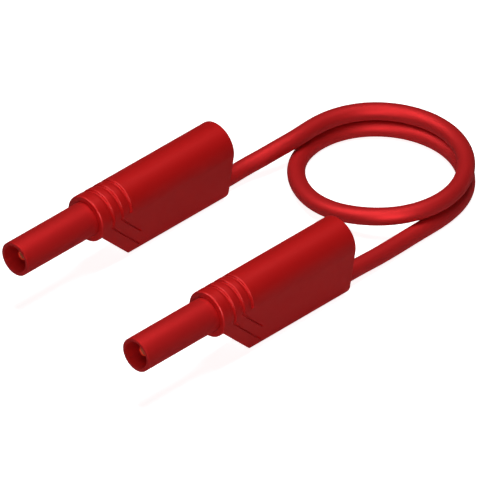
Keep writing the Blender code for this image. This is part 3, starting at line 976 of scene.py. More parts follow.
@dataclass
class Housing:
    """The moulded grip: barrel and collar, three ring grooves, the raked keel and its four slots.

    A ring groove goes round the barrel at its place and narrows between the two foot heights.
    Under its turn it runs on as a slot, with its slant, down to its end. The third groove ends at
    the axis and has no slot. Turns, ends and foot heights are distances from the axis, and a slant
    is how far a slot runs back for each metre that it falls.
    """

    plug: PlugSizes
    keel_foot: float = 0.00154
    keel_corner: float = 0.0030
    rake_x: float = 0.01885
    collar_edge: float = 0.00038
    rake_edge: float = 0.00025
    edge_blend: float = 0.0010
    rear_edge: float = 0.00022
    groove_places: tuple[float, ...] = (0.02437, 0.02705, 0.02970)
    groove_turns: tuple[float, ...] = (0.00127, 0.00025, 0.0004)
    groove_slants: tuple[float, ...] = (1.0, 1.0, 0.9)
    groove_ends: tuple[float, ...] = (0.01095, 0.0074, 0.0)
    groove: Channel = Channel((-0.00060, 0.00090), 0.00045, (0.00070, 34.0), (0.00034, 80.0))
    groove_foot: Channel = Channel((-0.00050, 0.00072), 0.00036, (0.00050, 34.0), (0.00006, 80.0))
    foot_heights: Point2 = (0.0020, 0.0046)
    slot: Channel = Channel((-0.00035, 0.00035), 0.00050, (0.00008, 80.0), (0.00008, 80.0))
    slot_blend: float = 0.0028
    end_fade: float = 0.00035
    overcut: float = 0.001
    well_mouth: float = 0.0002
    cable_drop: float = 0.01063
    cable_bore: float = 0.00215
    cable_mouth: float = 0.0003
    mouth_share: float = 0.3
    crimp_bore: float = 0.0014
    jacket_x: float = 0.0415
    lug_eye: float = 0.0027
    lug_foot: float = 0.0016
    face_ring: float = 0.0046
    top_steps: int = 33
    side_step: float = 0.00026
    corner_steps: int = 12
    rear_edge_steps: int = 3
    front_edge_steps: int = 6
    long_rows: int = 6
    short_rows: int = 3
    front_rows: int = 4
    face_rows: int = 4
    under_rows: int = 3
    eye_steps: int = 24
    foot_steps: int = 16
    bore_steps: int = 80

    def taper(self) -> float:
        """Find the lean of the keel's sides, which touch both the barrel and the foot's corners.

        Returns:
            The lean in radians.
        """
        drop = self.plug.keel_drop - self.keel_corner
        half = self.keel_foot / 2
        lean = (self.plug.barrel_radius - self.keel_corner) / math.hypot(half, drop)
        return math.asin(lean) - math.atan2(half, drop)

    def rake_drop(self) -> float:
        """Tell how far under the axis the raked plane meets the collar's face."""
        return self.plug.collar_x - self.rake_x

    def barrel_columns(self, lean: float) -> list[Column]:
        """List the columns round the barrel, from its top down to where the keel's side touches it.

        Args:
            lean: The lean of the keel's sides.

        Returns:
            The columns on the +Y side.
        """
        radius = self.plug.barrel_radius
        sweep = 0.5 * math.pi + lean
        turns = [0.5 * math.pi - sweep * i / self.top_steps for i in range(self.top_steps + 1)]
        touch_drop = radius * math.sin(lean)
        turns += [-math.asin(drop / radius) for drop in self.groove_turns if drop < touch_drop]
        columns = []
        for a in sorted(turns, reverse=True):
            columns.append(Column(*polar(radius, a), math.cos(a), math.sin(a), a, True))
        return columns

    def keel_outline(self, lean: float) -> list[tuple[float, float, float, float]]:
        """List the keel's outline, from the barrel down its side and round to the foot's middle.

        Args:
            lean: The lean of the keel's sides.

        Returns:
            Each point as (y, z, ny, nz), with its outward normal.
        """
        radius, foot_z = self.keel_corner, -self.plug.keel_drop
        corner = (self.keel_foot / 2, radius + foot_z)
        normal = (math.cos(lean), -math.sin(lean))
        start = Vector(polar(self.plug.barrel_radius, -lean))
        finish = Vector((corner[0] + radius * normal[0], corner[1] + radius * normal[1]))
        count = round((finish - start).length / self.side_step)
        drops = [-(start + (finish - start) * i / count).y for i in range(1, count + 1)]
        drops += [self.rake_drop(), self.groove_turns[0]]
        outline = []
        for drop in sorted(drops):
            share = (-drop - start.y) / (finish.y - start.y)
            place = start + (finish - start) * share
            outline.append((place.x, -drop, *normal))
        for i in range(1, self.corner_steps + 1):
            a = -lean + (lean - 0.5 * math.pi) * i / self.corner_steps
            y, z = polar(radius, a)
            outline.append((corner[0] + y, corner[1] + z, math.cos(a), math.sin(a)))
        return outline + [(corner[0] / 2, foot_z, 0.0, -1.0), (0.0, foot_z, 0.0, -1.0)]

    def half_section(self) -> list[Column]:
        """List the section's columns on the +Y side, from the barrel's top to the foot's middle.

        Returns:
            The columns. Those of the keel share out the barrel's underside evenly by their travel.
        """
        lean = self.taper()
        outline = self.keel_outline(lean)
        rake_drop = self.rake_drop()
        travel, past = 0.0, []
        for i, (y, z, _, _) in enumerate(outline):
            if i and -outline[i - 1][1] >= rake_drop - MERGE:
                travel += math.hypot(y - outline[i - 1][0], z - outline[i - 1][1])
            past.append(travel)
        split = -math.asin(rake_drop / self.plug.barrel_radius)
        columns = self.barrel_columns(lean)
        for (y, z, ny, nz), gone in zip(outline, past):
            if -z <= rake_drop + MERGE:
                angle = -math.asin(-z / self.plug.barrel_radius)
            else:
                angle = split + (-0.5 * math.pi - split) * gone / travel
            columns.append(Column(y, z, ny, nz, angle, False))
        return columns

    def section(self) -> list[Column]:
        """List the closed section's columns, once round."""
        half = self.half_section()
        return half + [column.mirrored() for column in half[-2:0:-1]]

    def front(self, z: float) -> float:
        """Find where the skin starts at a height: the collar's face, or the raked plane under it.

        Args:
            z: The height.

        Returns:
            The place along the plug.
        """
        return max(self.plug.collar_x, self.rake_x - z)

    def groove_middle(self, index: int, z: float) -> float:
        """Find the middle of a groove, or of the slot that it turns into, at a height.

        Args:
            index: Which groove.
            z: The height.

        Returns:
            The place along the plug.
        """
        below = max(0.0, -z - self.groove_turns[index])
        return self.groove_places[index] + self.groove_slants[index] * below

    def groove_rows(self, index: int, z: float) -> list[Point2]:
        """List the rows across a groove at a height, where it narrows and deepens into its slot.

        Args:
            index: Which groove.
            z: The height.

        Returns:
            The rows as (offset along x, depth), from the rear forward.
        """
        low, high = self.foot_heights
        narrowing = eased((high - z) / (high - low))
        turning = eased((-z - self.groove_turns[index]) / self.slot_blend)
        strength = eased((self.groove_ends[index] + z) / self.end_fade)
        rows = blended(self.groove.rows(), self.groove_foot.rows(), narrowing)
        rows = blended(rows, self.slot.rows(), turning)
        return [(offset, depth * strength) for offset, depth in rows]

    def edge_at(self, z: float) -> float:
        """Find the front edge's radius at a height: wide round the collar, narrower down the rake.

        Args:
            z: The height.

        Returns:
            The radius.
        """
        share = min(1.0, max(0.0, (z + self.rake_drop()) / self.edge_blend))
        return self.rake_edge + (self.collar_edge - self.rake_edge) * share

    def rear_points(self, column: Column) -> list[Vector]:
        """List a column's points from the rear face over its edge.

        Args:
            column: The column of the section.

        Returns:
            The points in the plug's frame.
        """
        ease, steps = self.rear_edge, self.rear_edge_steps
        turns = [0.5 * math.pi * i / steps for i in range(steps + 1)]
        start = self.plug.rear_x - ease
        return [column.point(start + ease * math.cos(a), ease - ease * math.sin(a)) for a in turns]

    def skin_points(self, column: Column) -> list[Vector]:
        """List a column's points along the outside, from the rear edge forward over the grooves.

        Args:
            column: The column of the section.

        Returns:
            The points in the plug's frame.
        """
        start = self.front(column.z) + self.edge_at(column.z)
        behind = self.plug.rear_x - self.rear_edge
        last = len(self.groove_places) - 1
        points = []
        for index in range(last, -1, -1):
            middle = self.groove_middle(index, column.z)
            channel = self.groove_rows(index, column.z)
            rows = self.long_rows if index == last else self.short_rows
            reach = middle + channel[0][0]
            points += [column.point(behind + (reach - behind) * k / rows) for k in range(1, rows)]
            points += [column.point(middle + offset, depth) for offset, depth in channel]
            behind = middle + channel[-1][0]
        rows = self.front_rows
        return points + [column.point(behind + (start - behind) * k / rows) for k in range(1, rows)]

    def front_points(self, column: Column) -> list[Vector]:
        """List a column's points over the front edge, of the collar or of the rake.

        Args:
            column: The column of the section.

        Returns:
            The points in the plug's frame.
        """
        edge = self.edge_at(column.z)
        points = []
        for i in range(self.front_edge_steps + 1):
            turn = 0.5 * math.pi * i / self.front_edge_steps
            inset = edge * (1.0 - math.cos(turn))
            height = column.z - column.nz * inset
            points.append(column.point(self.front(height) + edge - edge * math.sin(turn), inset))
        return points

    def inner_points(self, column: Column, edge_point: Vector) -> list[Vector]:
        """List a column's points over the raked plane, the barrel's underside and the collar's face.

        Args:
            column: The column of the section.
            edge_point: Where the rounded front edge ends, as (y, z).

        Returns:
            The points in the plug's frame.
        """
        radius, edge = self.plug.barrel_radius, self.edge_at(column.z)
        collar_x = self.plug.collar_x
        drop = -radius * math.sin(column.angle)
        length = self.rake_x + drop - collar_x
        under = not column.top and length > MERGE
        ease = min(edge, length / 2) if under else edge
        goal_radius = radius if under else radius - edge
        goal = edge_point if column.top else Vector(polar(goal_radius, column.angle))
        points = []
        for k in range(1, self.face_rows + 1):
            flat = edge_point.lerp(goal, k / self.face_rows)
            points.append(Vector((self.front(flat.y), flat.x, flat.y)))
        crease = points[-1].x
        reach = collar_x + ease if under else crease
        for k in range(1, self.under_rows + 1):
            points.append(Vector((crease + (reach - crease) * k / self.under_rows, *goal)))
        for i in range(1, self.face_rows + 1):
            turn = 0.5 * math.pi * i / self.face_rows
            if under:
                flat = Vector(polar(radius - ease * (1.0 - math.cos(turn)), column.angle))
                points.append(Vector((collar_x + ease * (1.0 - math.sin(turn)), *flat)))
            else:
                points.append(points[-1].copy())
        points.append(Vector((collar_x, *polar(self.face_ring, column.angle))))
        return points

    def rib(self, column: Column) -> list[Vector]:
        """List the points of one column, from the rear face along the skin and in over the front.

        Args:
            column: The column of the section.

        Returns:
            The points in the plug's frame, as many for every column.
        """
        points = self.rear_points(column) + self.skin_points(column) + self.front_points(column)
        return points + self.inner_points(column, Vector(points[-1][1:]))

    def mouth_rows(self, radius: float, ease: float) -> list[Point2]:
        """List the end of a bore's profile: its eased mouth in the rear face, and past it.

        Args:
            radius: The bore's radius.
            ease: How wide its mouth is eased.

        Returns:
            The profile's last points as (x, r).
        """
        rear, over = self.plug.rear_x, self.overcut
        middle = ease * self.mouth_share
        return [
            (rear - ease, radius),
            (rear - middle, radius + middle),
            (rear, radius + ease),
            (rear + over, radius + ease + over),
            (rear + over, 0.0),
        ]

    def core_profile(self) -> list[Point2]:
        """List the bores on the plug's axis: the spigot's seat with its lock, the boss and the well.

        Returns:
            The profile as (x, r).
        """
        plug = self.plug
        front = plug.collar_x - self.overcut
        seat = plug.sleeve_radius + plug.fit
        seat_end = plug.spigot_end + plug.fit
        lock_start, lock_end = plug.lock_span
        return [
            (front, 0.0),
            (front, seat),
            (lock_start, seat),
            (lock_start, seat - plug.lock_depth),
            (lock_end, seat - plug.lock_depth),
            (lock_end, seat),
            (seat_end, seat),
            (seat_end, plug.boss_radius),
            (plug.well_x, plug.boss_radius),
            (plug.well_x, plug.well_radius),
            *self.mouth_rows(plug.well_radius, self.well_mouth),
        ]

    def cable_profile(self) -> list[Point2]:
        """List the bores on the cable's axis: the crimp's room and the jacket's hole.

        Returns:
            The profile as (x, r).
        """
        plug = self.plug
        crimp_x = plug.spigot_end + plug.fit
        jacket_x = self.jacket_x - plug.fit
        return [
            (crimp_x, 0.0),
            (crimp_x, self.crimp_bore),
            (jacket_x, self.crimp_bore),
            (jacket_x, self.cable_bore),
            *self.mouth_rows(self.cable_bore, self.cable_mouth),
        ]

    def lug_outline(self) -> list[Point2]:
        """List the outline of the lug's room: an eye and a smaller foot joined by straight sides.

        Returns:
            The outline as (y, z).
        """
        lean = math.asin((self.lug_eye - self.lug_foot) / self.cable_drop)
        points = []
        for i in range(self.eye_steps + 1):
            points.append(polar(self.lug_eye, -lean + (math.pi + 2 * lean) * i / self.eye_steps))
        for i in range(self.foot_steps + 1):
            angle = math.pi + lean + (math.pi - 2 * lean) * i / self.foot_steps
            y, z = polar(self.lug_foot, angle)
            points.append((y, z - self.cable_drop))
        return points

    def solid(self) -> bpy.types.Mesh:
        """Build the grip without its bores, as one skin of ribs.

        Returns:
            The closed mesh.
        """
        ribs = [self.rib(column) for column in self.section()]
        count, rows = len(ribs), len(ribs[0])
        faces = []
        for c in range(count):
            here, there = c * rows, (c + 1) % count * rows
            faces += [(here + r, there + r, there + r + 1, here + r + 1) for r in range(rows - 1)]
        faces.append(tuple(c * rows for c in range(count)))
        faces.append(tuple(c * rows + rows - 1 for c in range(count)))
        mesh = bpy.data.meshes.new("housing")
        mesh.from_pydata([tuple(p) for rib in ribs for p in rib], [], faces)
        return facing_out(mesh)

    def build(self, lathe: bpy.types.NodeTree, material: bpy.types.Material) -> bpy.types.Mesh:
        """Build the housing in the plug's frame.

        Args:
            lathe: The tree for turned pieces, which makes the bores' cutters.
            material: The grip's finish.

        Returns:
            The shaded mesh.
        """
        bores = {
            "core": (self.core_profile(), 0.0),
            "cable_hole": (self.cable_profile(), self.cable_drop),
        }
        cutters = []
        for label, (profile, drop) in bores.items():
            strip = strip_of_points(label, [Vector((x, r, 0.0)) for x, r in profile])
            cutter = grown(label, strip, lathe, {"Steps": self.bore_steps, "Material": material})
            for vertex in cutter.vertices:
                vertex.co.z -= drop
            cutters.append(cutter)
        room = prism("lug_room", self.lug_outline(), self.plug.spigot_end, self.plug.lug_end)
        return shade(cut(self.solid(), [*cutters, room]), material)


@dataclass
class TurnedPiece(ABC):
    """A piece of a plug that is turned or moulded round the plug's axis."""

    plug: PlugSizes
    name: str
    slot: Slot
    closed: bool = False
    steps: int = 72
    edge: float = 0.0001

    @abstractmethod
    def corners(self) -> list[Corner]:
        """List the corners of the piece's profile, each as (x, r, corner radius)."""

    def build(self, lathe: bpy.types.NodeTree, material: bpy.types.Material) -> bpy.types.Mesh:
        """Build the piece in the plug's frame.

        Args:
            lathe: The tree for turned pieces.
            material: The piece's finish.

        Returns:
            The shaded mesh.
        """
        corners = self.corners()
        profile = rounded([*corners, corners[0]] if self.closed else corners)
        strip = strip_of_points(self.name, [Vector((x, r, 0.0)) for x, r in profile])
        mesh = grown(self.name, strip, lathe, {"Steps": self.steps, "Material": material})
        return shade(mesh, material)


@dataclass
class Shroud(TurnedPiece):
    """The rigid sleeve round the pin, with the spigot that locks into the grip."""

    name: str = "shroud"
    slot: Slot = Slot.SLEEVE
    closed: bool = True
    bore_radius: float = 0.00325
    nose_edge: float = 0.00012
    mouth_row: float = 0.00035

    def corners(self) -> list[Corner]:
        """List the corners, from the mouth back along the outside and forward through the bore.

        Returns:
            Each corner as (x, r, corner radius).
        """
        plug = self.plug
        outside = plug.sleeve_radius
        lock_start, lock_end = plug.lock_span
        hole = plug.shank_radius + plug.fit
        floor_x = plug.flange_end + plug.fit
        return [
            (0.0, self.bore_radius, 0.0),
            (0.0, outside, self.nose_edge),
            (lock_start, outside, 0.0),
            (lock_start, outside - plug.lock_depth, 0.0),
            (lock_end, outside - plug.lock_depth, 0.0),
            (lock_end, outside, 0.0),
            (plug.spigot_end, outside, self.edge),
            (plug.spigot_end, hole, 0.0),
            (floor_x, hole, 0.0),
            (floor_x, self.bore_radius, 0.0),
            (self.mouth_row, self.bore_radius, 0.0),
        ]


@dataclass
class ContactPin(TurnedPiece):
    """The contact pin: a rounded nose, the cage's seat, a flange and the shank behind it."""

    name: str = "contact_pin"
    slot: Slot = Slot.GILT
    steps: int = 56
    nose: tuple[Corner, ...] = (
        (0.0020, 0.0, 0.0),
        (0.0020, 0.0007, 0.00008),
        (0.00208, 0.00108, 0.0002),
        (0.0026, 0.00155, 0.0003),
        (0.0034, 0.0018, 0.0004),
    )
    radius: float = 0.0018
    seat_edge: float = 0.00006
    flange_x: float = 0.0209
    flange_radius: float = 0.0024

    def corners(self) -> list[Corner]:
        """List the corners, from the tip back along the outside.

        Returns:
            Each corner as (x, r, corner radius).
        """
        plug = self.plug
        seat_start, seat_end = plug.cage_seat
        return [
            *self.nose,
            (seat_start, self.radius, self.seat_edge),
            (seat_start, plug.cage_seat_radius, 0.0),
            (seat_end, plug.cage_seat_radius, 0.0),
            (seat_end, self.radius, self.seat_edge),
            (self.flange_x, self.radius, 0.0),
            (self.flange_x, self.flange_radius, self.edge),
            (plug.flange_end, self.flange_radius, 0.0),
            (plug.flange_end, plug.shank_radius, 0.0),
            (plug.shank_end, plug.shank_radius, self.edge),
            (plug.shank_end, 0.0, 0.0),
        ]


@dataclass
class RearSocket(TurnedPiece):
    """The turned socket that takes the next plug's pin, pressed onto the shank's end."""

    name: str = "rear_socket"
    slot: Slot = Slot.SOCKET
    steps: int = 56
    bore_x: float = 0.0415
    bore_radius: float = 0.002025
    mouth: float = 0.0002
    mouth_edges: Point2 = (0.00005, 0.00006)

    def corners(self) -> list[Corner]:
        """List the corners, from the shank's hole along the outside and in through the bore.

        Returns:
            Each corner as (x, r, corner radius).
        """
        plug = self.plug
        hole = plug.shank_radius + plug.fit
        hole_end = plug.shank_end + plug.fit
        boss = plug.boss_radius - plug.fit
        outer_edge, inner_edge = self.mouth_edges
        return [
            (hole_end, 0.0, 0.0),
            (hole_end, hole, 0.0),
            (plug.lug_end, hole, 0.0),
            (plug.lug_end, boss, self.edge),
            (plug.well_x, boss, self.edge),
            (plug.well_x, plug.tube_radius, 0.0),
            (plug.tube_end, plug.tube_radius, self.edge),
            (plug.tube_end, self.bore_radius + self.mouth, outer_edge),
            (plug.tube_end - self.mouth, self.bore_radius, inner_edge),
            (self.bore_x, self.bore_radius, 0.0),
            (self.bore_x, 0.0, 0.0),
        ]


@dataclass
class SocketGuard(TurnedPiece):
    """The insulating sleeve round the rear socket, with a foot on the well's floor."""

    name: str = "socket_guard"
    slot: Slot = Slot.GUARD
    closed: bool = True
    steps: int = 64
    radius: float = 0.00305
    foot: float = 0.0012
    end_x: float = 0.0610
    lip_radius: float = 0.00215
    lip_edges: Point2 = (0.0002, 0.00018)

    def corners(self) -> list[Corner]:
        """List the corners, from the foot back along the outside and forward through the bore.

        Returns:
            Each corner as (x, r, corner radius).
        """
        plug = self.plug
        foot_x = plug.well_x + plug.fit
        foot_end = foot_x + self.foot
        foot_radius = plug.well_radius - plug.fit
        bore = plug.tube_radius + plug.fit
        lip_x = plug.tube_end + plug.fit
        outer_edge, inner_edge = self.lip_edges
        return [
            (foot_x, bore, 0.0),
            (foot_x, foot_radius, self.edge),
            (foot_end, foot_radius, self.edge),
            (foot_end, self.radius, 0.0),
            (self.end_x, self.radius, outer_edge),
            (self.end_x, self.lip_radius, inner_edge),
            (lip_x, self.lip_radius, 0.0),
            (lip_x, bore, 0.0),
        ]


Shells = list[list[list[bmesh.types.BMVert]]]


@dataclass
class LamellaCage:
    """The spring cage round the pin: two rings joined by bulged lamellae."""

    plug: PlugSizes
    count: int = 8
    share: float = 0.62
    ring: float = 0.0012
    wall: float = 0.0002
    swell: float = 0.00035
    rim_row: float = 0.00008
    neck_row: float = 0.0001
    rows: int = 22
    columns: int = 6
    gap_columns: int = 3

    def ends(self) -> Point2:
        """Tell where the cage starts and ends in its seat on the pin."""
        seat_start, seat_end = self.plug.cage_seat
        return (seat_start + self.plug.fit, seat_end - self.plug.fit)

    def lamella_ends(self) -> Point2:
        """Tell where the lamellae start and end, between the two rings."""
        start, end = self.ends()
        return (start + self.ring, end - self.ring)

    def radius_at(self, x: float) -> float:
        """Find the cage's inner radius at a place along the plug.

        Args:
            x: The place.

        Returns:
            The radius.
        """
        low, high = self.lamella_ends()
        share = min(1.0, max(0.0, (x - low) / (high - low)))
        inner = self.plug.cage_seat_radius + self.plug.fit
        return inner + self.swell * math.sin(math.pi * share)

    def rows_along(self) -> list[float]:
        """List the rows of vertices along the plug, with close ones at the rings' edges.

        Returns:
            The rows' places, from the front back.
        """
        start, end = self.ends()
        low, high = self.lamella_ends()
        rows = [start, start + self.rim_row, low - self.neck_row, low]
        rows += [low + (high - low) * i / self.rows for i in range(1, self.rows)]
        return rows + [high, high + self.neck_row, end - self.rim_row, end]

    def turns_across(self) -> list[float]:
        """List the turns of one sector: over its lamella, then over the gap beside it.

        Returns:
            The turns in radians, from 0 to the next sector's start.
        """
        pitch = 2.0 * math.pi / self.count
        width = pitch * self.share
        gap = pitch - width
        turns = [width * i / self.columns for i in range(self.columns + 1)]
        return turns + [width + gap * i / self.gap_columns for i in range(1, self.gap_columns + 1)]

    def sector(self) -> bpy.types.Mesh:
        """Build one sector: a lamella, and its share of both rings.

        Returns:
            The mesh, open where the next sector joins it.
        """
        low, high = self.lamella_ends()
        along, turns = self.rows_along(), self.turns_across()
        bm = bmesh.new()
        shells = []
        for grow in (0.0, self.wall):
            radii = [self.radius_at(x) + grow for x in along]
            grid = [[bm.verts.new((x, *polar(r, a))) for a in turns] for x, r in zip(along, radii)]
            shells.append(grid)
        last, wide = len(along) - 1, len(turns) - 1
        for r in range(last):
            is_ring = along[r + 1] <= low + MERGE or along[r] >= high - MERGE
            for c in range(wide if is_ring else self.columns):
                for grid in shells:
                    corners = (grid[r][c], grid[r][c + 1], grid[r + 1][c + 1], grid[r + 1][c])
                    bm.faces.new(corners)
            if not is_ring:
                for c in (0, self.columns):
                    self.bridge(bm, shells, (r, c), (r + 1, c))
        for c in range(wide):
            for row in (0, last):
                self.bridge(bm, shells, (row, c), (row, c + 1))
        for c in range(self.columns, wide):
            for row in (along.index(low), along.index(high)):
                self.bridge(bm, shells, (row, c), (row, c + 1))
        mesh = bpy.data.meshes.new("lamella_sector")
        bm.to_mesh(mesh)
        bm.free()
        return mesh

    @staticmethod
    def bridge(
        bm: bmesh.types.BMesh,
        shells: Shells,
        first: tuple[int, int],
        second: tuple[int, int],
    ) -> None:
        """Join the inner and the outer shell with one face between two of their places.

        Args:
            bm: The mesh that is being built.
            shells: The inner and the outer grid of vertices.
            first: Row and column of one place.
            second: Row and column of the other.
        """
        inner, outer = shells
        (row, column), (next_row, next_column) = first, second
        bm.faces.new(
            (
                inner[row][column],
                inner[next_row][next_column],
                outer[next_row][next_column],
                outer[row][column],
            )
        )

    def build(self, tree: bpy.types.NodeTree, material: bpy.types.Material) -> bpy.types.Mesh:
        """Build the cage in the plug's frame from one sector.

        Args:
            tree: The tree that repeats a sector round X.
            material: The spring's finish.

        Returns:
            The shaded mesh.
        """
        values = {"Count": self.count, "Material": material}
        return shade(grown("lamella_cage", self.sector(), tree, values), material)


@dataclass
class Plug:
    """One stackable safety plug, which stands where its CAD nodes are."""

    end: End

    def stand(self, meshes: dict[str, tuple[bpy.types.Mesh, Slot]]) -> None:
        """Put a copy of each of the plug's meshes at its place.

        Args:
            meshes: The meshes in the plug's frame by piece name, each with its slot.
        """
        nose = nose_of(self.end)
        for name, (mesh, slot) in meshes.items():
            node = f"{self.end.value}_{name}"
            own = mesh.copy()
            own.name = f"{node}_look"
            for vertex in own.vertices:
                vertex.co += nose
            place_piece(own.name, own, node, level=name == "housing")

    def dress_nodes(self, finishes: Finishes) -> None:
        """Give the CAD nodes that stay inside the grip their finishes.

        Args:
            finishes: The lead's finishes.
        """
        slots = {"crimp_lug": Slot.TINNED, "conductor": Slot.COPPER, "cable_end": Slot.JACKET}
        for name, slot in slots.items():
            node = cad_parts[f"{self.end.value}_{name}"]
            node.data.materials.clear()
            node.data.materials.append(finishes.made[slot])
            LOG.info("%s: finish %s", node.name, slot.value)


@dataclass
class Cable:
    """The free cable: out of the far plug, one and a half times round and into the near plug."""

    radius: float = 0.0020
    length: float = 0.246
    rings: int = 520
    sides: int = 36
    line_points: int = 900
    exit: Point3 = (0.0341, 0.02185, 0.00287)
    route: tuple[Point3, ...] = (
        (0.0314, 0.02185, 0.00287),
        (0.0341, 0.02185, 0.00287),
        (0.0381, 0.0218, 0.0029),
        (0.0421, 0.0214, 0.0034),
        (0.0461, 0.0204, 0.0043),
        (0.0501, 0.0194, 0.0053),
        (0.0549, 0.0187, 0.0060),
        (0.0627, 0.0186, 0.0063),
        (0.0716, 0.0157, 0.0063),
        (0.0780, 0.0086, 0.0063),
        (0.0802, -0.0011, 0.0063),
        (0.0773, -0.0107, 0.0063),
        (0.0702, -0.0178, 0.0063),
        (0.0605, -0.0207, 0.0063),
        (0.0514, -0.0182, 0.0060),
        (0.0454, -0.0107, 0.0049),
        (0.0437, -0.0003, 0.0034),
        (0.0471, 0.0097, 0.0024),
        (0.0537, 0.0163, 0.00205),
        (0.0626, 0.0184, 0.00205),
        (0.0715, 0.0156, 0.00205),
        (0.0779, 0.0084, 0.00205),
        (0.0800, -0.0012, 0.00205),
        (0.0772, -0.0108, 0.00205),
        (0.0700, -0.0180, 0.00205),
        (0.0604, -0.0208, 0.00205),
        (0.0530, -0.0211, 0.0021),
        (0.0455, -0.0214, 0.0022),
        (0.0385, -0.0217, 0.0025),
        (0.0330, -0.0218, 0.0028),
        (0.0275, -0.02185, 0.00287),
        (0.0248, -0.02185, 0.00287),
    )

    def line(self) -> list[Vector]:
        """Lay a natural cubic spline through the route.

        Returns:
            Its points, evenly spaced along the route's spans.
        """
        points = [Vector(p) for p in self.route]
        gaps = [(b - a).length for a, b in zip(points, points[1:])]
        last = len(points) - 1
        bends = [Vector() for _ in points]
        ratios = [0.0] * len(points)
        for i in range(1, last):
            slope = (points[i + 1] - points[i]) / gaps[i] - (points[i] - points[i - 1]) / gaps[i - 1]
            pivot = 2.0 * (gaps[i - 1] + gaps[i]) - gaps[i - 1] * ratios[i - 1]
            ratios[i] = gaps[i] / pivot
            bends[i] = (6.0 * slope - gaps[i - 1] * bends[i - 1]) / pivot
        for i in range(last - 1, 0, -1):
            bends[i] = bends[i] - ratios[i] * bends[i + 1]
        total, places = sum(gaps), []
        for n in range(self.line_points):
            travel, i = total * n / (self.line_points - 1), 0
            while i < last - 1 and travel > gaps[i]:
                travel -= gaps[i]
                i += 1
            gap, ahead = gaps[i], gaps[i] - travel
            place = (bends[i] * ahead**3 + bends[i + 1] * travel**3) / (6.0 * gap)
            place += (points[i] / gap - bends[i] * gap / 6.0) * ahead
            places.append(place + (points[i + 1] / gap - bends[i + 1] * gap / 6.0) * travel)
        return places

    def build(self, tree: bpy.types.NodeTree, material: bpy.types.Material) -> bpy.types.Object:
        """Args:
            tree: The tree that lays a jacket along a path.
            material: The jacket's finish.

        Returns:
            The cable.
        """
        line = self.line()
        values = {"Rings": self.rings, "Sides": self.sides, "Radius": self.radius, "Material": material}
        mesh = grown("cable_look", strip_of_points("cable_line", line), tree, values)
        piece = place_piece("cable_look", shade(mesh, material), "cable")
        return piece


@dataclass(frozen=True)
class Lamp:
    """One square soft light, hung in a direction from the lead.

    wash is whether it lights the surfaces at large. A light without it is a card that only shows in
    the gloss.
    """

    name: str
    towards: Point3
    power: float
    size: float
    wash: bool

    def hang(self, aim: Vector, distance: float) -> None:
        """Hang the light so that it looks at the lead.

        Args:
            aim: The place that it looks at.
            distance: How far away it hangs.
        """
        lamp = bpy.data.lights.new(self.name, "AREA")
        lamp.shape = "SQUARE"
        lamp.size = self.size
        lamp.energy = self.power
        towards = Vector(self.towards)
        holder = bpy.data.objects.new(self.name, lamp)
        holder.location = aim + towards.normalized() * distance
        holder.rotation_euler = towards.to_track_quat("Z", "Y").to_euler()
        holder.visible_diffuse = self.wash
        bpy.context.scene.collection.objects.link(holder)


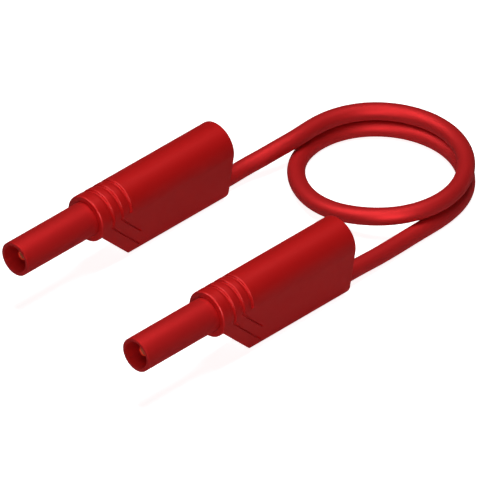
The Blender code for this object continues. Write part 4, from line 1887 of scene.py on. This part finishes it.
@dataclass
class Studio:
    """The plain pale floor, the soft lights and the camera at the photograph's angle."""

    aim: Vector = field(default_factory=lambda: Vector((0.02149, 0.00220, 0.00394)))
    view_width: float = 0.10397
    lens: float = 1600.0
    sensor: float = 36.0
    view_from: Vector = field(default_factory=lambda: Vector((-1.0, -1.0, 1.0)))
    seen_depths: Point2 = (0.01, 100.0)
    floor_size: float = 12.0
    floor_colour: float = 0.90
    floor_in_gloss: float = 0.09
    floor_glow: float = 0.92
    floor_wash: float = 0.34
    sky_light: float = 0.02
    lamp_distance: float = 0.6
    lamps: tuple[Lamp, ...] = (
        Lamp("overhead_softbox", (0.10, 0.0, 1.0), 2.62, 0.34, True),
        Lamp("upper_near_card", (-0.55, -0.30, 0.75), 1.8, 0.30, False),
        Lamp("lower_near_card", (-0.62, -0.62, 0.30), 6.6, 0.30, False),
        Lamp("far_card", (-0.42, 0.36, 0.80), 4.3, 0.34, False),
    )

    def floor(self) -> None:
        """Lay the floor, a diffuser that is lit from behind too, so that shadows on it stay faint."""
        half = self.floor_size / 2
        mesh = bpy.data.meshes.new("floor")
        corners = [(-half, -half, 0.0), (half, -half, 0.0), (half, half, 0.0), (-half, half, 0.0)]
        mesh.from_pydata(corners, [], [(0, 1, 2, 3)])
        material = bpy.data.materials.new("pale_floor")
        material.use_nodes = True
        tree = material.node_tree
        shader = tree.nodes["Principled BSDF"]
        shader.inputs["Roughness"].default_value = 1.0
        shader.inputs["Specular IOR Level"].default_value = 0.0
        shader.inputs["Emission Color"].default_value = (1.0, 1.0, 1.0, 1.0)
        rays = tree.nodes.new("ShaderNodeLightPath")
        glow = math_node(tree, "MULTIPLY", rays.outputs["Is Camera Ray"], self.floor_glow)
        wash = math_node(tree, "MULTIPLY", rays.outputs["Is Diffuse Ray"], self.floor_wash)
        tree.links.new(math_node(tree, "ADD", glow, wash), shader.inputs["Emission Strength"])
        dimming = self.floor_in_gloss - self.floor_colour
        dimmed = math_node(tree, "MULTIPLY", rays.outputs["Is Glossy Ray"], dimming)
        tree.links.new(math_node(tree, "ADD", dimmed, self.floor_colour), shader.inputs["Base Color"])
        mesh.materials.append(material)
        ground = bpy.data.objects.new("floor", mesh)
        bpy.context.scene.collection.objects.link(ground)

    def sky(self) -> None:
        """Set the sky: white behind the lead, and nearly dark in its gloss and on its surfaces."""
        world = bpy.data.worlds.new("soft_sky")
        world.use_nodes = True
        tree = world.node_tree
        sky = tree.nodes["Background"]
        sky.inputs["Color"].default_value = (1.0, 1.0, 1.0, 1.0)
        rays = tree.nodes.new("ShaderNodeLightPath")
        strength = math_node(tree, "ADD", rays.outputs["Is Camera Ray"], self.sky_light)
        tree.links.new(strength, sky.inputs["Strength"])
        bpy.context.scene.world = world

    def camera(self) -> None:
        """Stand the camera where the photograph was taken from, far away with a long lens."""
        data = bpy.data.cameras.new("camera")
        data.lens = self.lens
        data.sensor_width = self.sensor
        data.clip_start, data.clip_end = self.seen_depths
        eye = bpy.data.objects.new("camera", data)
        back = self.view_from.normalized()
        eye.location = self.aim + back * (self.view_width * self.lens / self.sensor)
        eye.rotation_euler = back.to_track_quat("Z", "Y").to_euler()
        bpy.context.scene.collection.objects.link(eye)
        bpy.context.scene.camera = eye

    def build(self) -> None:
        """Build the whole studio."""
        self.floor()
        self.sky()
        for lamp in self.lamps:
            lamp.hang(self.aim, self.lamp_distance)
        self.camera()
        bpy.context.scene.view_settings.view_transform = "Standard"


@dataclass
class TestLead:
    """The whole lead: two plugs and the cable between them."""

    plug: PlugSizes = field(default_factory=PlugSizes.of_frame)
    cable: Cable = field(default_factory=Cable)
    finishes: Finishes = field(default_factory=Finishes)

    def plug_meshes(self) -> dict[str, tuple[bpy.types.Mesh, Slot]]:
        """Build the pieces of a plug once, in the plug's frame.

        Returns:
            Each piece's mesh and slot by its name.
        """
        looks = self.finishes.made
        lathe = turned_tree()
        meshes = {"housing": (Housing(self.plug).build(lathe, looks[Slot.GRIP]), Slot.GRIP)}
        for kind in (Shroud, ContactPin, RearSocket, SocketGuard):
            piece = kind(self.plug)
            meshes[piece.name] = (piece.build(lathe, looks[piece.slot]), piece.slot)
        cage = LamellaCage(self.plug).build(ring_tree(), looks[Slot.SPRING])
        meshes["lamella_cage"] = (cage, Slot.SPRING)
        return meshes

    def build(self) -> None:
        """Build every finish and piece in order."""
        self.finishes.build()
        meshes = self.plug_meshes()
        for plug in (Plug(End.NEAR), Plug(End.FAR)):
            plug.stand(meshes)
            plug.dress_nodes(self.finishes)
        self.cable.build(jacket_tree(), self.finishes.made[Slot.JACKET])


def main() -> None:
    """Build the lead and the studio round the frame."""
    logging.basicConfig(level=logging.INFO, format="%(name)s: %(message)s")
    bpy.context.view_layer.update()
    TestLead().build()
    Studio().build()


if __name__ == "__main__":
    main()
